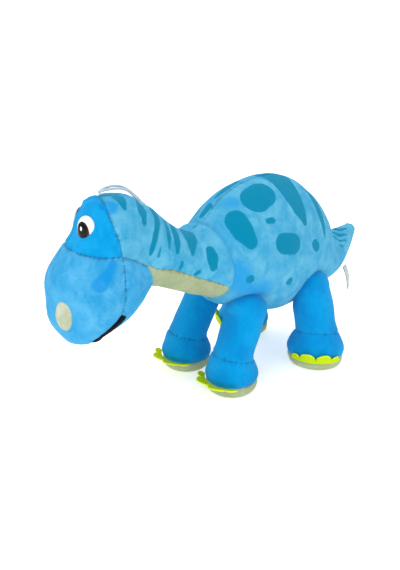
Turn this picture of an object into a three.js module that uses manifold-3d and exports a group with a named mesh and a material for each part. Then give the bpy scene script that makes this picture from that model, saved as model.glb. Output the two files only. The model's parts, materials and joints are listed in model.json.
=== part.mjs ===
// A stuffed long-necked dinosaur that stands on four feet.
// Millimetres, +Z up, the nose towards -Y, the dinosaur's own left side towards +X.
// Every stuffed part is a fibre filling inside sewn cloth panels. The neck, head, legs and tail
// are limbs of their own: each has a round filling that turns in a hollow of the part it joins.
import * as THREE from 'three';
import { mergeVertices } from 'three/addons/utils/BufferGeometryUtils.js';
import Module from 'manifold-3d';

const wasm = await Module();
wasm.setup();

// ---------------------------------------------------------------- driving dimensions
const cloth = 1.4; // thickness of the plush cloth
const gap = 0.3; // room between pieces that lie on each other
const turnRoom = 1.5; // room round a limb that turns in a hollow
const swing = { neck: 12, head: 12, leg: 15, tail: 15 }; // degrees each way

const torso = { frontY: -52, length: 186, halfWidth: 57, halfHeight: 76, bellyZ: 58.5 };
const rumpDome = 12; // how far the torso's rear end bulges past its last section
const neck = { reach: 96, rise: 42, halfWidth: 31, halfHeight: 31 };
const head = { halfWidth: 39, depth: 95, height: 127, yaw: -22, crownDome: 8, chinDome: 6 };
const tail = { reach: 94, rise: 24, radius: 28, tipDome: 6 };
const shoulder = { inset: 8, rise: 1 };
const tailRoot = { inset: 24, drop: 35 }; // inside the torso's rear end and below its middle
const hip = {
  front: { inset: 24, rise: 23, fromEnd: 26 },
  rear: { inset: 14, rise: 29, fromEnd: 68 },
};
const stride = { front: -24, rear: -1 }; // how far the foot stands ahead of the hip
const splay = { front: 3.5, rear: 14.5 }; // how far the foot stands outside the hip
const footTurn = { front: 0, rear: 38 }; // degrees that the toes point outwards
const leg = { shaftRadius: 21.5, soleSeamZ: 12, ankleZ: 37, ankleTilt: 14 };
const footRadius = { front: 27, rear: 31 };
const shaftShare = { front: 1, rear: 1.08 }; // the rear legs are a little stouter
const eye = { halfWidth: 9.2, halfHeight: 13.2, dome: 4.0, sink: 2.6 };
const eyeStem = { radius: 2.6, length: 11 };
const eyeSpot = { ahead: 0.31, up: 0.095, outwards: 46 }; // shares of the head, then degrees
const washer = { radius: 8, thickness: 1.6, depth: 5 };
const iris = { halfWidth: 6.4, halfHeight: 9.4, thickness: 1, forward: 1.7, down: 0.9 };
const nostril = { halfWidth: 8.5, halfHeight: 13.5, thickness: 1.2 };
const nostrilSpot = { ahead: 0.47, up: -0.47, outwards: 42 };
const mouthWidth = 8; // of the black felt that lines the mouth
const toe = { halfWidths: [5, 8, 8, 5], heights: [6, 10, 10, 6], base: 2, thickness: 1.5 };
const toeFlare = { front: 20, rear: 72 }; // degrees that the toes rise above level
const loopDiameter = 2.2;
const label = { length: 30, width: 12, thickness: 0.8, turn: 20, tilt: 15 };
const labelSpot = { side: 0.80, along: 0.55, down: 0.58 };
const facets = { torso: 18, head: 16, limb: 12, ball: 12 }; // sides of the sewn forms

// ---------------------------------------------------------------- places that follow from them
const torsoZ = torso.bellyZ + torso.halfHeight;
const shoulderAt = new THREE.Vector3(0, torso.frontY + shoulder.inset, torsoZ + shoulder.rise);
const napeAt = shoulderAt.clone().add(new THREE.Vector3(0, -neck.reach, neck.rise));
const tailAt = new THREE.Vector3(
  0, torso.frontY + torso.length - tailRoot.inset, torsoZ - tailRoot.drop);
const hipY = {
  front: torso.frontY + hip.front.fromEnd,
  rear: torso.frontY + torso.length - hip.rear.fromEnd,
};

const legPlaces = ['front', 'rear'].flatMap((end) =>
  [1, -1].map((side) => ({
    name: `${end}_${side > 0 ? 'left' : 'right'}`,
    end,
    side,
    hip: new THREE.Vector3(
      side * (torso.halfWidth - hip[end].inset), hipY[end], torso.bellyZ + hip[end].rise),
  })));

// ---------------------------------------------------------------- materials
const paint = (color, roughness = 0.95) =>
  new THREE.MeshStandardMaterial({ color, roughness, metalness: 0 });
const printedPlush = paint('#72c2e8');
const facePlush = paint('#62bdea');
const azurePlush = paint('#1aa2e6');
const creamPlush = paint('#e4edc4');
const fibre = paint('#f4f5f2', 1);
const blackFelt = paint('#0c0c0e', 1);
const limeFelt = paint('#c9e22a', 1);
const whitePlastic = paint('#f4f6f6', 0.25);
const brownPlastic = paint('#3a1d12', 0.12);
const clearPlastic = paint('#e9ecec', 0.5);
const satin = paint('#cbdde6', 0.6);

// ---------------------------------------------------------------- solids
// A geometry or a solid as a manifold solid whose faces point outwards.
function solid(shape) {
  if (!shape.isBufferGeometry) return shape;
  const plain = shape.clone();
  for (const name of ['normal', 'uv']) plain.deleteAttribute(name);
  const merged = mergeVertices(plain, 1e-4);
  const at = merged.getAttribute('position');
  const corners = [];
  let volume = 0;
  for (let i = 0; i < merged.index.count; i += 3) {
    const [p, q, r] = [0, 1, 2].map((k) => merged.index.getX(i + k));
    if (p === q || q === r || r === p) continue;
    corners.push(p, q, r);
    const [a, b, c] = [p, q, r].map((k) => new THREE.Vector3().fromBufferAttribute(at, k));
    volume += a.dot(b.cross(c));
  }
  if (volume < 0) corners.reverse();
  return new wasm.Manifold(new wasm.Mesh({
    numProp: 3,
    vertProperties: new Float32Array(at.array),
    triVerts: new Uint32Array(corners),
  }));
}

const join = (...shapes) => shapes.map(solid).reduce((whole, next) => whole.add(next));
const cut = (shape, ...tools) => tools.reduce(
  (left, tool) => left.subtract(solid(tool)), solid(shape));
const common = (one, other) => solid(one).intersect(solid(other));
const larger = (one, other) => (other.volume() > one.volume() ? other : one);
const largest = (shape) => shape.decompose().reduce(larger);
// A solid as a plain geometry of vertices and triangles.
const bare = (shape) => {
  const { vertProperties, triVerts } = solid(shape).getMesh();
  return new THREE.BufferGeometry()
    .setAttribute('position', new THREE.BufferAttribute(new Float32Array(vertProperties), 3))
    .setIndex([...triVerts]);
};
const farSize = 400; // of the tools that cut away everything on one side

// A stuffed form through sections [x, y, z, half width, half depth, lean, peak]: the section's deep
// axis leans from upright towards +Y by lean degrees, and peak narrows its upper half like an
// egg's. Each end is flat or domed by its length, and grow moves the whole surface outwards.
function stuffed(sections, { grow = 0, sides = facets.limb, domes = [0, 0] } = {}) {
  const last = sections.length - 1;
  const rings = sections.map(([x, y, z, width, depth, lean, peak = 0]) => {
    const tilt = THREE.MathUtils.degToRad(lean);
    return {
      centre: new THREE.Vector3(x, y, z),
      width: width + grow,
      depth: depth + grow,
      peak,
      deep: new THREE.Vector3(0, Math.sin(tilt), Math.cos(tilt)),
    };
  });
  const capped = (ring, inner, dome) => {
    const out = new THREE.Vector3(1, 0, 0).cross(ring.deep);
    if (out.dot(ring.centre.clone().sub(inner.centre)) < 0) out.negate();
    const rounds = dome > 0 ? 3 : 1;
    const length = dome + grow;
    const rows = [];
    for (let k = dome > 0 ? 1 : 0; k < rounds; k += 1) {
      const angle = (k / rounds) * Math.PI / 2;
      rows.push({
        ...ring,
        centre: ring.centre.clone().addScaledVector(out, dome > 0 ? length * Math.sin(angle) : length),
        width: ring.width * Math.cos(angle),
        depth: ring.depth * Math.cos(angle),
      });
    }
    return { rows, pole: ring.centre.clone().addScaledVector(out, length) };
  };
  const start = capped(rings[0], rings[1], domes[0]);
  const end = capped(rings[last], rings[last - 1], domes[1]);
  const body = rings.slice(domes[0] > 0 ? 0 : 1, domes[1] > 0 ? undefined : -1);
  const rows = [...start.rows.reverse(), ...body, ...end.rows];
  const points = [start.pole];
  for (const row of rows) {
    for (let j = 0; j < sides; j += 1) {
      const angle = ((j + 0.5) / sides) * 2 * Math.PI;
      const slim = 1 - row.peak * Math.max(0, Math.sin(angle));
      points.push(row.centre.clone()
        .addScaledVector(row.deep, row.depth * Math.sin(angle))
        .add(new THREE.Vector3(row.width * slim * Math.cos(angle), 0, 0)));
    }
  }
  points.push(end.pole);
  const faces = [];
  const at = (i, j) => 1 + i * sides + (j % sides);
  for (let j = 0; j < sides; j += 1) {
    faces.push(0, at(0, j + 1), at(0, j));
    faces.push(points.length - 1, at(rows.length - 1, j), at(rows.length - 1, j + 1));
    for (let i = 0; i + 1 < rows.length; i += 1) {
      faces.push(at(i, j), at(i, j + 1), at(i + 1, j + 1));
      faces.push(at(i, j), at(i + 1, j + 1), at(i + 1, j));
    }
  }
  return new THREE.BufferGeometry().setFromPoints(points).setIndex(faces);
}

// A ball about a joint, with its poles on the hinge's line along X. Its flat faces, not only its
// corners, are at least the radius away from the centre.
function ball(centre, radius) {
  const corners = radius / Math.cos(Math.PI / facets.ball) ** 2;
  return new THREE.SphereGeometry(corners, facets.ball, facets.ball / 2)
    .rotateZ(Math.PI / 2)
    .translate(...centre);
}

// A prism along X over an outline of [y, z] points.
function prism(outline, fromX, toX) {
  const shape = new THREE.Shape(outline.map(([y, z]) => new THREE.Vector2(y, z)));
  const turn = new THREE.Matrix4().makeBasis(
    new THREE.Vector3(0, 1, 0), new THREE.Vector3(0, 0, 1), new THREE.Vector3(1, 0, 0));
  return new THREE.ExtrudeGeometry(shape, { depth: toX - fromX, bevelEnabled: false })
    .applyMatrix4(turn)
    .translate(fromX, 0, 0);
}

// A strip as wide as the gap along a line of [y, z] points: it parts two panels at their seam.
function seam(line) {
  const blades = [];
  for (let i = 0; i + 1 < line.length; i += 1) {
    const along = new THREE.Vector2(...line[i + 1]).sub(new THREE.Vector2(...line[i])).normalize();
    const from = new THREE.Vector2(...line[i]).addScaledVector(along, -gap / 2);
    const to = new THREE.Vector2(...line[i + 1]).addScaledVector(along, gap / 2);
    const across = new THREE.Vector2(-along.y, along.x).multiplyScalar(gap / 2);
    const corners = [
      from.clone().add(across), to.clone().add(across), to.clone().sub(across), from.clone().sub(across)];
    blades.push(prism(corners.map((p) => [p.x, p.y]), -farSize / 2, farSize / 2));
  }
  return join(...blades);
}

const half = (side) => new THREE.BoxGeometry(farSize, 3 * farSize, 3 * farSize)
  .translate(side * (farSize + gap) / 2, 0, 0);

// The shape in the places it sweeps through as it turns about X at a joint.
function swept(shape, pivot, degrees) {
  const turned = [];
  for (const share of [-1, 0, 1]) {
    turned.push(shape.clone()
      .translate(-pivot.x, -pivot.y, -pivot.z)
      .rotateX(THREE.MathUtils.degToRad(degrees * share))
      .translate(pivot.x, pivot.y, pivot.z));
  }
  return join(...turned);
}

// ---------------------------------------------------------------- the sewn forms
const inner = -cloth; // the cloth's inner face
const core = -cloth - gap; // the filling's surface

const torsoSections = [
  [0.00, -4, 0.76, 0.60, -8, 0.10],
  [0.13, 0, 0.92, 0.79, -8, 0.12],
  [0.31, 0, 1.00, 0.96, -6, 0.10],
  [0.51, -1, 1.00, 1.02, -4, 0.06],
  [0.71, -4, 0.93, 0.94, -8, 0.03],
  [0.86, -11, 0.74, 0.75, -14, 0],
  [0.94, -18, 0.53, 0.52, -20, 0],
].map(([share, drop, width, height, lean, peak]) => [
  0, torso.frontY + share * torso.length, torsoZ + drop,
  width * torso.halfWidth, height * torso.halfHeight, lean, peak]);
const torsoForm = (grow) => stuffed(torsoSections, { grow, sides: facets.torso, domes: [0, rumpDome] });

// Each neck section is placed by its share of the way from the shoulder to the nape.
const neckSections = [
  [0.00, 0, 1.15, 1.15, -15],
  [0.19, -8.5, 1.34, 1.25, -7],
  [0.28, -11.5, 1.24, 1.12, -3],
  [0.38, -13.5, 1.16, 1.05, 0],
  [0.58, -13.5, 1.00, 0.97, 10],
  [0.81, -10.5, 0.94, 0.94, 30],
  [1.00, 0, 0.85, 0.85, 42],
].map(([share, sag, width, height, lean]) => [
  0, shoulderAt.y - share * neck.reach, shoulderAt.z + share * neck.rise + sag,
  width * neck.halfWidth, height * neck.halfHeight, lean]);
const roundEnd = (sections, index) => sections.at(index)[3];
const neckDomes = [roundEnd(neckSections, 0), roundEnd(neckSections, -1)];
const neckForm = (grow) => stuffed(neckSections, { grow, domes: neckDomes });

// Head sections are level slices from the crown down to the chin, placed from the nape.
const headSections = [
  [-0.245, 0.236, 0.55, 0.245],
  [-0.235, 0.142, 0.77, 0.325],
  [-0.265, 0.040, 0.87, 0.346],
  [-0.315, -0.063, 0.93, 0.405],
  [-0.375, -0.236, 1.00, 0.492],
  [-0.400, -0.410, 1.00, 0.481],
  [-0.488, -0.580, 0.90, 0.378],
  [-0.560, -0.692, 0.62, 0.216],
].map(([ahead, up, width, depth]) => [
  0, napeAt.y + ahead * head.depth, napeAt.z + up * head.height,
  width * head.halfWidth, depth * head.depth, 90]);
const headDomes = [head.crownDome, head.chinDome];
const headForm = (grow) => stuffed(headSections, { grow, sides: facets.head, domes: headDomes });

const tailSections = [
  [0.00, 0, 1.00, 1.00, 0],
  [0.30, -11, 0.97, 1.02, -6],
  [0.57, -11, 0.76, 0.84, -20],
  [0.80, -5, 0.47, 0.52, -32],
  [0.95, -1, 0.26, 0.30, -40],
].map(([share, sag, width, height, lean]) => [
  0, tailAt.y + share * tail.reach, tailAt.z + share * tail.rise + sag,
  width * tail.radius, height * tail.radius, lean]);
const tailForm = (grow) => stuffed(tailSections, { grow, domes: [tail.radius, tail.tipDome] });

// A leg is round level slices from its flat sole up to the hip.
const footAt = (place) => new THREE.Vector3(
  place.hip.x + place.side * splay[place.end], place.hip.y + stride[place.end], 0);
function legSections(place) {
  const broad = footRadius[place.end];
  const shaft = shaftShare[place.end] * leg.shaftRadius;
  const foot = footAt(place);
  const rows = [
    [0, 0.82 * broad],
    [0.4 * leg.soleSeamZ, 0.93 * broad],
    [leg.soleSeamZ, broad],
    [leg.soleSeamZ + 7, 1.01 * broad],
    [leg.ankleZ - 9, 0.92 * broad],
    [leg.ankleZ, 1.06 * shaft],
    [leg.ankleZ + 9, shaft],
    [place.hip.z - 24, shaft],
    [place.hip.z, leg.shaftRadius],
  ];
  return rows.map(([z, radius]) => {
    const climb = Math.max(0, (z - leg.ankleZ) / (place.hip.z - leg.ankleZ));
    const centre = foot.clone().lerp(place.hip, climb);
    return [centre.x, centre.y, z, radius, radius, 90];
  });
}
const legForm = (place, grow) => stuffed(legSections(place), { grow, domes: [0, leg.shaftRadius] });

// ---------------------------------------------------------------- room for what turns
// Only the stretch of a limb that lies inside its neighbour needs room there.
function limbRoom(sections, pivot, degrees, turn = 0) {
  const limb = stuffed(sections, { grow: turnRoom })
    .translate(-pivot.x, -pivot.y, -pivot.z)
    .rotateZ(-THREE.MathUtils.degToRad(turn))
    .translate(pivot.x, pivot.y, pivot.z);
  const round = sections.find(([x, y, z]) => pivot.distanceTo(new THREE.Vector3(x, y, z)) < 1)[3];
  return join(swept(limb, pivot, degrees), ball(pivot, round + 0.6 * turnRoom));
}
const neckRoom = limbRoom(neckSections.slice(0, 5), shoulderAt, swing.neck);
const napeRoom = limbRoom(neckSections.slice(-3), napeAt, swing.head, head.yaw);
const tailRoom = limbRoom(tailSections.slice(0, 3), tailAt, swing.tail);
const legRooms = legPlaces.map((place) => limbRoom(legSections(place).slice(-3), place.hip, swing.leg));

// ---------------------------------------------------------------- assembly
const dinosaur = new THREE.Group();

function add(parent, name, shape, material) {
  const geometry = bare(largest(solid(shape)));
  geometry.computeVertexNormals();
  const mesh = new THREE.Mesh(geometry, material);
  mesh.name = name;
  parent.add(mesh);
  return mesh;
}

const sideNames = [['left', 1], ['right', -1]];

// ---------------------------------------------------------------- torso
const bodyRooms = [neckRoom, tailRoom, ...legRooms];
add(dinosaur, 'torso_stuffing', cut(torsoForm(core), ...bodyRooms), fibre);
for (const [name, side] of sideNames) {
  const skin = cut(common(torsoForm(0), half(side)), torsoForm(inner), ...bodyRooms);
  add(dinosaur, `torso_panel_${name}`, skin, printedPlush);
}

// ---------------------------------------------------------------- neck
// The cream throat panel lies below a line along the neck's side.
const throatLine = [
  [shoulderAt.y + 60, shoulderAt.z - 45],
  [shoulderAt.y - 10, shoulderAt.z - 22],
  [shoulderAt.y - 50, shoulderAt.z - 3],
  [napeAt.y + 4, napeAt.z - 29],
  [napeAt.y - 60, napeAt.z + 20],
];
const throatEnds = [throatLine.at(0)[0], throatLine.at(-1)[0]];
const underThroat = prism(
  [[throatEnds[0], 0], ...throatLine, [throatEnds[1], 0]], -farSize / 2, farSize / 2);
const neckSkin = cut(neckForm(0), neckForm(inner));
const throatSeam = seam(throatLine);
add(dinosaur, 'neck_stuffing', neckForm(core), fibre);
add(dinosaur, 'throat_panel', cut(common(neckSkin, underThroat), throatSeam), creamPlush);
for (const [name, side] of sideNames) {
  const panel = cut(common(neckSkin, half(side)), underThroat, throatSeam);
  add(dinosaur, `neck_panel_${name}`, panel, printedPlush);
}

// ---------------------------------------------------------------- head
// The head is sewn looking straight ahead and turns a little on the neck as it stands.
const headTurn = new THREE.Group();
headTurn.position.copy(napeAt);
headTurn.rotation.z = THREE.MathUtils.degToRad(head.yaw);
const headParts = new THREE.Group();
headParts.position.copy(napeAt).negate();
headTurn.add(headParts);
dinosaur.add(headTurn);

const headPoint = (ahead, up) => [napeAt.y - ahead * head.depth, napeAt.z + up * head.height];
const crownTop = headPoint(0.36, 0.60);
const crownSeam = headPoint(0.27, 0.16);
const cheek = headPoint(0.22, -0.07);
const bridge = headPoint(0.72, -0.02);
const bridgeOut = headPoint(1.6, 0.06);
const mouthCorner = headPoint(0.25, -0.49);
const chinOut = headPoint(0.74, -0.88);
const jawTop = headPoint(-0.06, -0.20);
const jawOut = headPoint(-1.2, -0.50);
const frontOut = headPoint(1.6, 0.6);
const frontLowOut = headPoint(1.6, -0.85);
const rearOut = headPoint(-1.2, 0.6);
const rearLowOut = headPoint(-1.2, -0.85);
// The mouth is a strip of felt as wide as mouthWidth, measured square to its upper edge.
const lipEdge = new THREE.Vector2(...chinOut).sub(new THREE.Vector2(...mouthCorner)).normalize();
const lowerLip = ([y, z]) => [y - lipEdge.y * mouthWidth, z + lipEdge.x * mouthWidth];
const mouthCornerLow = lowerLip(mouthCorner);
const chinOutLow = lowerLip(chinOut);
const headSkin = cut(headForm(0), headForm(inner), napeRoom);
const headSeams = join(
  seam([crownTop, crownSeam, cheek]),
  seam([cheek, bridge, bridgeOut]),
  seam([cheek, jawTop, jawOut]),
  seam([cheek, mouthCorner, chinOut]),
  seam([mouthCorner, mouthCornerLow, chinOutLow]));
const regions = {
  eye_patch: [crownTop, crownSeam, cheek, bridge, bridgeOut, frontOut],
  muzzle_panel: [cheek, bridge, bridgeOut, frontLowOut, chinOut, mouthCorner],
  crown_panel: [crownTop, crownSeam, cheek, jawTop, jawOut, rearOut],
  jaw_panel: [cheek, jawTop, jawOut, rearLowOut, chinOutLow, mouthCornerLow, mouthCorner],
  mouth_felt: [mouthCorner, mouthCornerLow, chinOutLow, chinOut],
};
const headRegion = (name) => cut(
  common(headSkin, prism(regions[name], -farSize / 2, farSize / 2)), headSeams);

// A frame on the head's surface, with +Z out of the cloth, seen from the spot inside the head.
function onHead(side, spot, sink = 0) {
  const [insideY, insideZ] = headPoint(spot.ahead, spot.up);
  const inside = new THREE.Vector3(0, insideY, insideZ);
  const azimuth = THREE.MathUtils.degToRad(spot.outwards);
  const out = new THREE.Vector3(side * Math.sin(azimuth), -Math.cos(azimuth), 0);
  const bothFaces = new THREE.MeshStandardMaterial({ side: THREE.DoubleSide });
  const skin = new THREE.Mesh(headForm(0), bothFaces);
  const hit = new THREE.Raycaster(inside, out).intersectObject(skin).pop();
  const right = new THREE.Vector3(0, 0, 1).cross(out).normalize();
  const up = out.clone().cross(right);
  const point = hit.point.addScaledVector(out, -sink);
  return new THREE.Matrix4().makeBasis(right, up, out).setPosition(point);
}

const oval = (halfWidth, halfHeight, depth, sides = 16) =>
  new THREE.CylinderGeometry(1, 1, depth, sides).rotateX(Math.PI / 2).scale(halfWidth, halfHeight, 1);

// A domed plastic eye with the stem that goes through the cloth, around its own +Z.
const ovalSides = 16;
const stemSides = 12;
function eyeShape(grow) {
  const dome = new THREE.SphereGeometry(1, ovalSides, ovalSides / 2)
    .rotateX(Math.PI / 2)
    .scale(eye.halfWidth + grow, eye.halfHeight + grow, eye.dome + grow);
  const ahead = oval(2 * eye.halfWidth, 2 * eye.halfHeight, 4 * eye.dome)
    .translate(0, 0, 2 * eye.dome + gap - grow);
  const [radius, length] = [eyeStem.radius + grow, eyeStem.length + grow + 1];
  const stem = new THREE.CylinderGeometry(radius, radius, length, stemSides)
    .rotateX(Math.PI / 2)
    .translate(0, 0, gap + 1 - length / 2);
  return join(common(dome, ahead), stem);
}
const placed = (shape, place) => bare(shape).applyMatrix4(place);
const washerShape = (grow) => {
  const [bore, rim] = [eyeStem.radius + gap - grow, washer.radius + grow];
  const [front, back] = [-grow, washer.thickness + grow];
  const profile = [[bore, front], [rim, front], [rim, back], [bore, back], [bore, front]];
  return new THREE.LatheGeometry(profile.map(([r, z]) => new THREE.Vector2(r, z)), ovalSides)
    .rotateX(Math.PI / 2)
    .translate(0, 0, -washer.depth - washer.thickness);
};
const eyePocket = gap + iris.thickness + gap; // room that the iris on the dome needs

const pockets = [];
for (const [name, side] of sideNames) {
  const place = onHead(side, eyeSpot, eye.sink);
  add(headParts, `eye_${name}`, placed(eyeShape(0), place), whitePlastic);
  const irisAt = oval(iris.halfWidth, iris.halfHeight, farSize)
    .translate(side * -iris.forward, -iris.down, farSize / 2 + 1);
  const shell = cut(eyeShape(gap + iris.thickness), eyeShape(gap));
  add(headParts, `iris_${name}`, placed(common(shell, irisAt), place), brownPlastic);
  add(headParts, `eye_washer_${name}`, placed(washerShape(0), place), clearPlastic);
  pockets.push(placed(eyeShape(eyePocket), place), placed(washerShape(gap), place));
}

add(headParts, 'head_stuffing', cut(headForm(core), napeRoom, ...pockets), fibre);
const nostrilSkin = cut(headForm(gap + nostril.thickness), headForm(gap));
for (const [name, side] of sideNames) {
  const panel = (region) => common(headRegion(region), half(side));
  add(headParts, `eye_patch_${name}`, cut(panel('eye_patch'), ...pockets), azurePlush);
  add(headParts, `muzzle_panel_${name}`, panel('muzzle_panel'), facePlush);
  add(headParts, `crown_panel_${name}`, cut(panel('crown_panel'), ...pockets), printedPlush);
  const patch = oval(nostril.halfWidth, nostril.halfHeight, 20 * nostril.thickness);
  const trimmed = common(nostrilSkin, placed(patch, onHead(side, nostrilSpot)));
  add(headParts, `nostril_${name}`, trimmed, creamPlush);
}
add(headParts, 'jaw_panel', headRegion('jaw_panel'), facePlush);
add(headParts, 'mouth_felt', headRegion('mouth_felt'), blackFelt);

// ---------------------------------------------------------------- legs
// The toes are one felt strip with rounded lobes, bent round the foot and sewn into its seam.
const lobeSteps = 6;
function toeOutline() {
  const outline = [];
  let start = -toe.halfWidths.reduce((sum, w) => sum + w);
  toe.halfWidths.forEach((halfWidth, i) => {
    for (let k = i > 0 ? 1 : 0; k <= lobeSteps; k += 1) {
      const angle = (k / lobeSteps) * Math.PI;
      const height = toe.heights[i] * Math.max(Math.sin(angle), 0.12);
      outline.push([start + halfWidth * (1 - Math.cos(angle)), height]);
    }
    start += 2 * halfWidth;
  });
  return outline;
}

function toeStrip(place) {
  const flare = THREE.MathUtils.degToRad(toeFlare[place.end]);
  const root = 1.01 * footRadius[place.end] + 2 * gap + toe.base * Math.cos(flare);
  const foot = footAt(place);
  const facing = THREE.MathUtils.degToRad(place.side * footTurn[place.end] - 90);
  const bent = (along, up, out) => {
    const radius = root + up * Math.cos(flare) + out * Math.sin(flare);
    const angle = facing + along / footRadius[place.end];
    return new THREE.Vector3(
      foot.x + radius * Math.cos(angle), foot.y + radius * Math.sin(angle),
      leg.soleSeamZ + toe.base + up * Math.sin(flare) - out * Math.cos(flare));
  };
  const points = toeOutline().flatMap(([along, height]) => [
    bent(along, -toe.base, 0), bent(along, height, 0),
    bent(along, height, toe.thickness), bent(along, -toe.base, toe.thickness),
  ]);
  const faces = [0, 1, 2, 0, 2, 3];
  const end = points.length - 4;
  faces.push(end, end + 2, end + 1, end, end + 3, end + 2);
  for (let i = 0; i < end; i += 4) {
    for (let k = 0; k < 4; k += 1) {
      const [a, b] = [i + k, i + ((k + 1) % 4)];
      faces.push(a, a + 4, b + 4, a, b + 4, b);
    }
  }
  return new THREE.BufferGeometry().setFromPoints(points).setIndex(faces);
}

// All that lies above a plane through the foot's axis that rises towards the toes.
function above(place, z, tilt) {
  const foot = footAt(place);
  return new THREE.BoxGeometry(2 * farSize, 2 * farSize, 2 * farSize)
    .translate(0, 0, farSize)
    .rotateX(-THREE.MathUtils.degToRad(tilt))
    .rotateZ(THREE.MathUtils.degToRad(place.side * footTurn[place.end]))
    .translate(foot.x, foot.y, z);
}

for (const place of legPlaces) {
  const skin = cut(legForm(place, 0), legForm(place, inner));
  add(dinosaur, `${place.name}_leg_stuffing`, legForm(place, core), fibre);
  const aboveAnkle = (shift) => above(place, leg.ankleZ + shift, leg.ankleTilt);
  const aboveSole = (shift) => above(place, leg.soleSeamZ + shift, 0);
  add(dinosaur, `${place.name}_leg_sleeve`, common(skin, aboveAnkle(gap / 2)), azurePlush);
  const cuff = cut(common(skin, aboveSole(gap / 2)), aboveAnkle(-gap / 2));
  add(dinosaur, `${place.name}_foot_cuff`, cuff, azurePlush);
  add(dinosaur, `${place.name}_sole`, cut(skin, aboveSole(-gap / 2)), creamPlush);
  add(dinosaur, `${place.name}_toes`, toeStrip(place), limeFelt);
}

// ---------------------------------------------------------------- tail and its sewn-in label
const tailSkin = cut(tailForm(0), tailForm(inner));
add(dinosaur, 'tail_stuffing', tailForm(core), fibre);
for (const [name, side] of sideNames) {
  add(dinosaur, `tail_panel_${name}`, common(tailSkin, half(side)), printedPlush);
}

const labelSheet = new THREE.BoxGeometry(label.thickness, label.width, label.length)
  .translate(0, 0, -label.length / 2)
  .rotateY(-THREE.MathUtils.degToRad(label.tilt))
  .rotateZ(THREE.MathUtils.degToRad(label.turn))
  .translate(
    labelSpot.side * tail.radius,
    tailAt.y + labelSpot.along * tail.reach,
    tailAt.z - labelSpot.down * tail.radius);
add(dinosaur, 'care_label', cut(labelSheet, tailForm(gap)), satin);

// ---------------------------------------------------------------- hanging loop
// One soft cord: both ends are sewn into the top of the head, and it lies back over the nape.
const loopMiddle = [
  [-12, -169.8, 217.8], [-11.6, -166.4, 219.6], [-11, -161.4, 221.2], [-10, -154.4, 221.8],
  [-9, -147.5, 220.2], [-8, -141.6, 217], [-7, -136.8, 212.8], [-6, -132, 208],
  [-5.2, -128.6, 203.8],
];
const loopTip = [-4.9, -125.8, 202.2];
const strandGap = 1.6; // from the middle of the loop to either strand
const strandDrop = [-0.4, 0.4, 1.4, 1.8, 1.2, 0.4, 0.8, 1.2, 1]; // of the lower strand, on the way back
const strand = (side) => loopMiddle.map(([x, y, z], i) => [
  x + side * strandGap, y - side, z - (side > 0 ? strandDrop[i] : 0)]);
const loopRoute = [...strand(-1), loopTip, ...strand(1).reverse()];
const loopPath = new THREE.CatmullRomCurve3(loopRoute.map((p) => new THREE.Vector3(...p)));
const cordSides = 8;
const cordSection = new THREE.Shape(Array.from({ length: cordSides }, (_, i) => new THREE.Vector2(
  (loopDiameter / 2) * Math.cos((2 * Math.PI * i) / cordSides),
  (loopDiameter / 2) * Math.sin((2 * Math.PI * i) / cordSides))));
const loopCord = new THREE.ExtrudeGeometry(cordSection, { steps: 30, extrudePath: loopPath });
add(dinosaur, 'hang_loop', solid(loopCord), satin);

// ---------------------------------------------------------------- the part's own frame
// The origin is below the middle of the dinosaur, on the floor it stands on.
dinosaur.updateMatrixWorld(true);
const reach = new THREE.Box3();
for (const mesh of dinosaur.getObjectsByProperty('isMesh', true)) {
  if (mesh.name !== 'hang_loop') reach.expandByObject(mesh, true);
}
dinosaur.position.set(-(reach.min.x + reach.max.x) / 2, -(reach.min.y + reach.max.y) / 2, 0);

export default dinosaur;
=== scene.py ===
# %% [markdown]
# # A long-necked stuffed dinosaur
# The toy is sewn from flat panels of short plush, turned right side out and filled with loose
# fibre. What the eye reads as "stuffed" is not the big shape alone: it is the seam that sits in a
# shallow valley, the small puckers that run square to it, and the swell of each panel between
# its seams. So every sewn form here starts as a smooth loft through a few cross sections, is cut
# along its seam lines, and is then pulled in at the seams and swollen between them.

# %% Load the fixed frame
import json
import math

import bmesh
import bpy
import numpy as np
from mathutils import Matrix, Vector, kdtree, noise
from mathutils.bvhtree import BVHTree


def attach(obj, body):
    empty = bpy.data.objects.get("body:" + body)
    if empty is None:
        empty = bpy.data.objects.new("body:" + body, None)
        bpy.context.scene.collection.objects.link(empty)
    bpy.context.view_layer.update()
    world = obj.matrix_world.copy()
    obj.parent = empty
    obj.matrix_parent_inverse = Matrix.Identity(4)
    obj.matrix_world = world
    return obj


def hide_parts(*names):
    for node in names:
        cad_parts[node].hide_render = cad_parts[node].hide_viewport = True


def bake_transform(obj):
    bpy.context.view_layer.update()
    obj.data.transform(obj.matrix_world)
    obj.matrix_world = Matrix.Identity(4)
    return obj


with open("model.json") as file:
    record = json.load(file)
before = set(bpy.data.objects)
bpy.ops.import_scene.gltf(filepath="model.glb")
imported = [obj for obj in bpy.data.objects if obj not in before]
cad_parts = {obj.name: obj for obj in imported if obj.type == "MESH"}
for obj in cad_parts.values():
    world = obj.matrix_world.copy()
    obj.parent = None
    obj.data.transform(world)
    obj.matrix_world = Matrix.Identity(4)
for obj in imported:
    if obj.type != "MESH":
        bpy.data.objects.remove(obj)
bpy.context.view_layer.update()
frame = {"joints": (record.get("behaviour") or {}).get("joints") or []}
MM = 0.001  # all shapes below are worked out in millimetres
joint_at = {joint["name"]: np.array(joint["pos_m"]) / MM for joint in frame["joints"]}
shoulder, nape, tail_root = (joint_at[n] for n in ("neck_bend", "head_nod", "tail_bend"))

# %% [markdown]
# ## The camera
# A portrait frame, a little above the toy and off its front left side. The sensor is fitted to
# the frame's height, so the lens alone sets how large the toy is.

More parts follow.
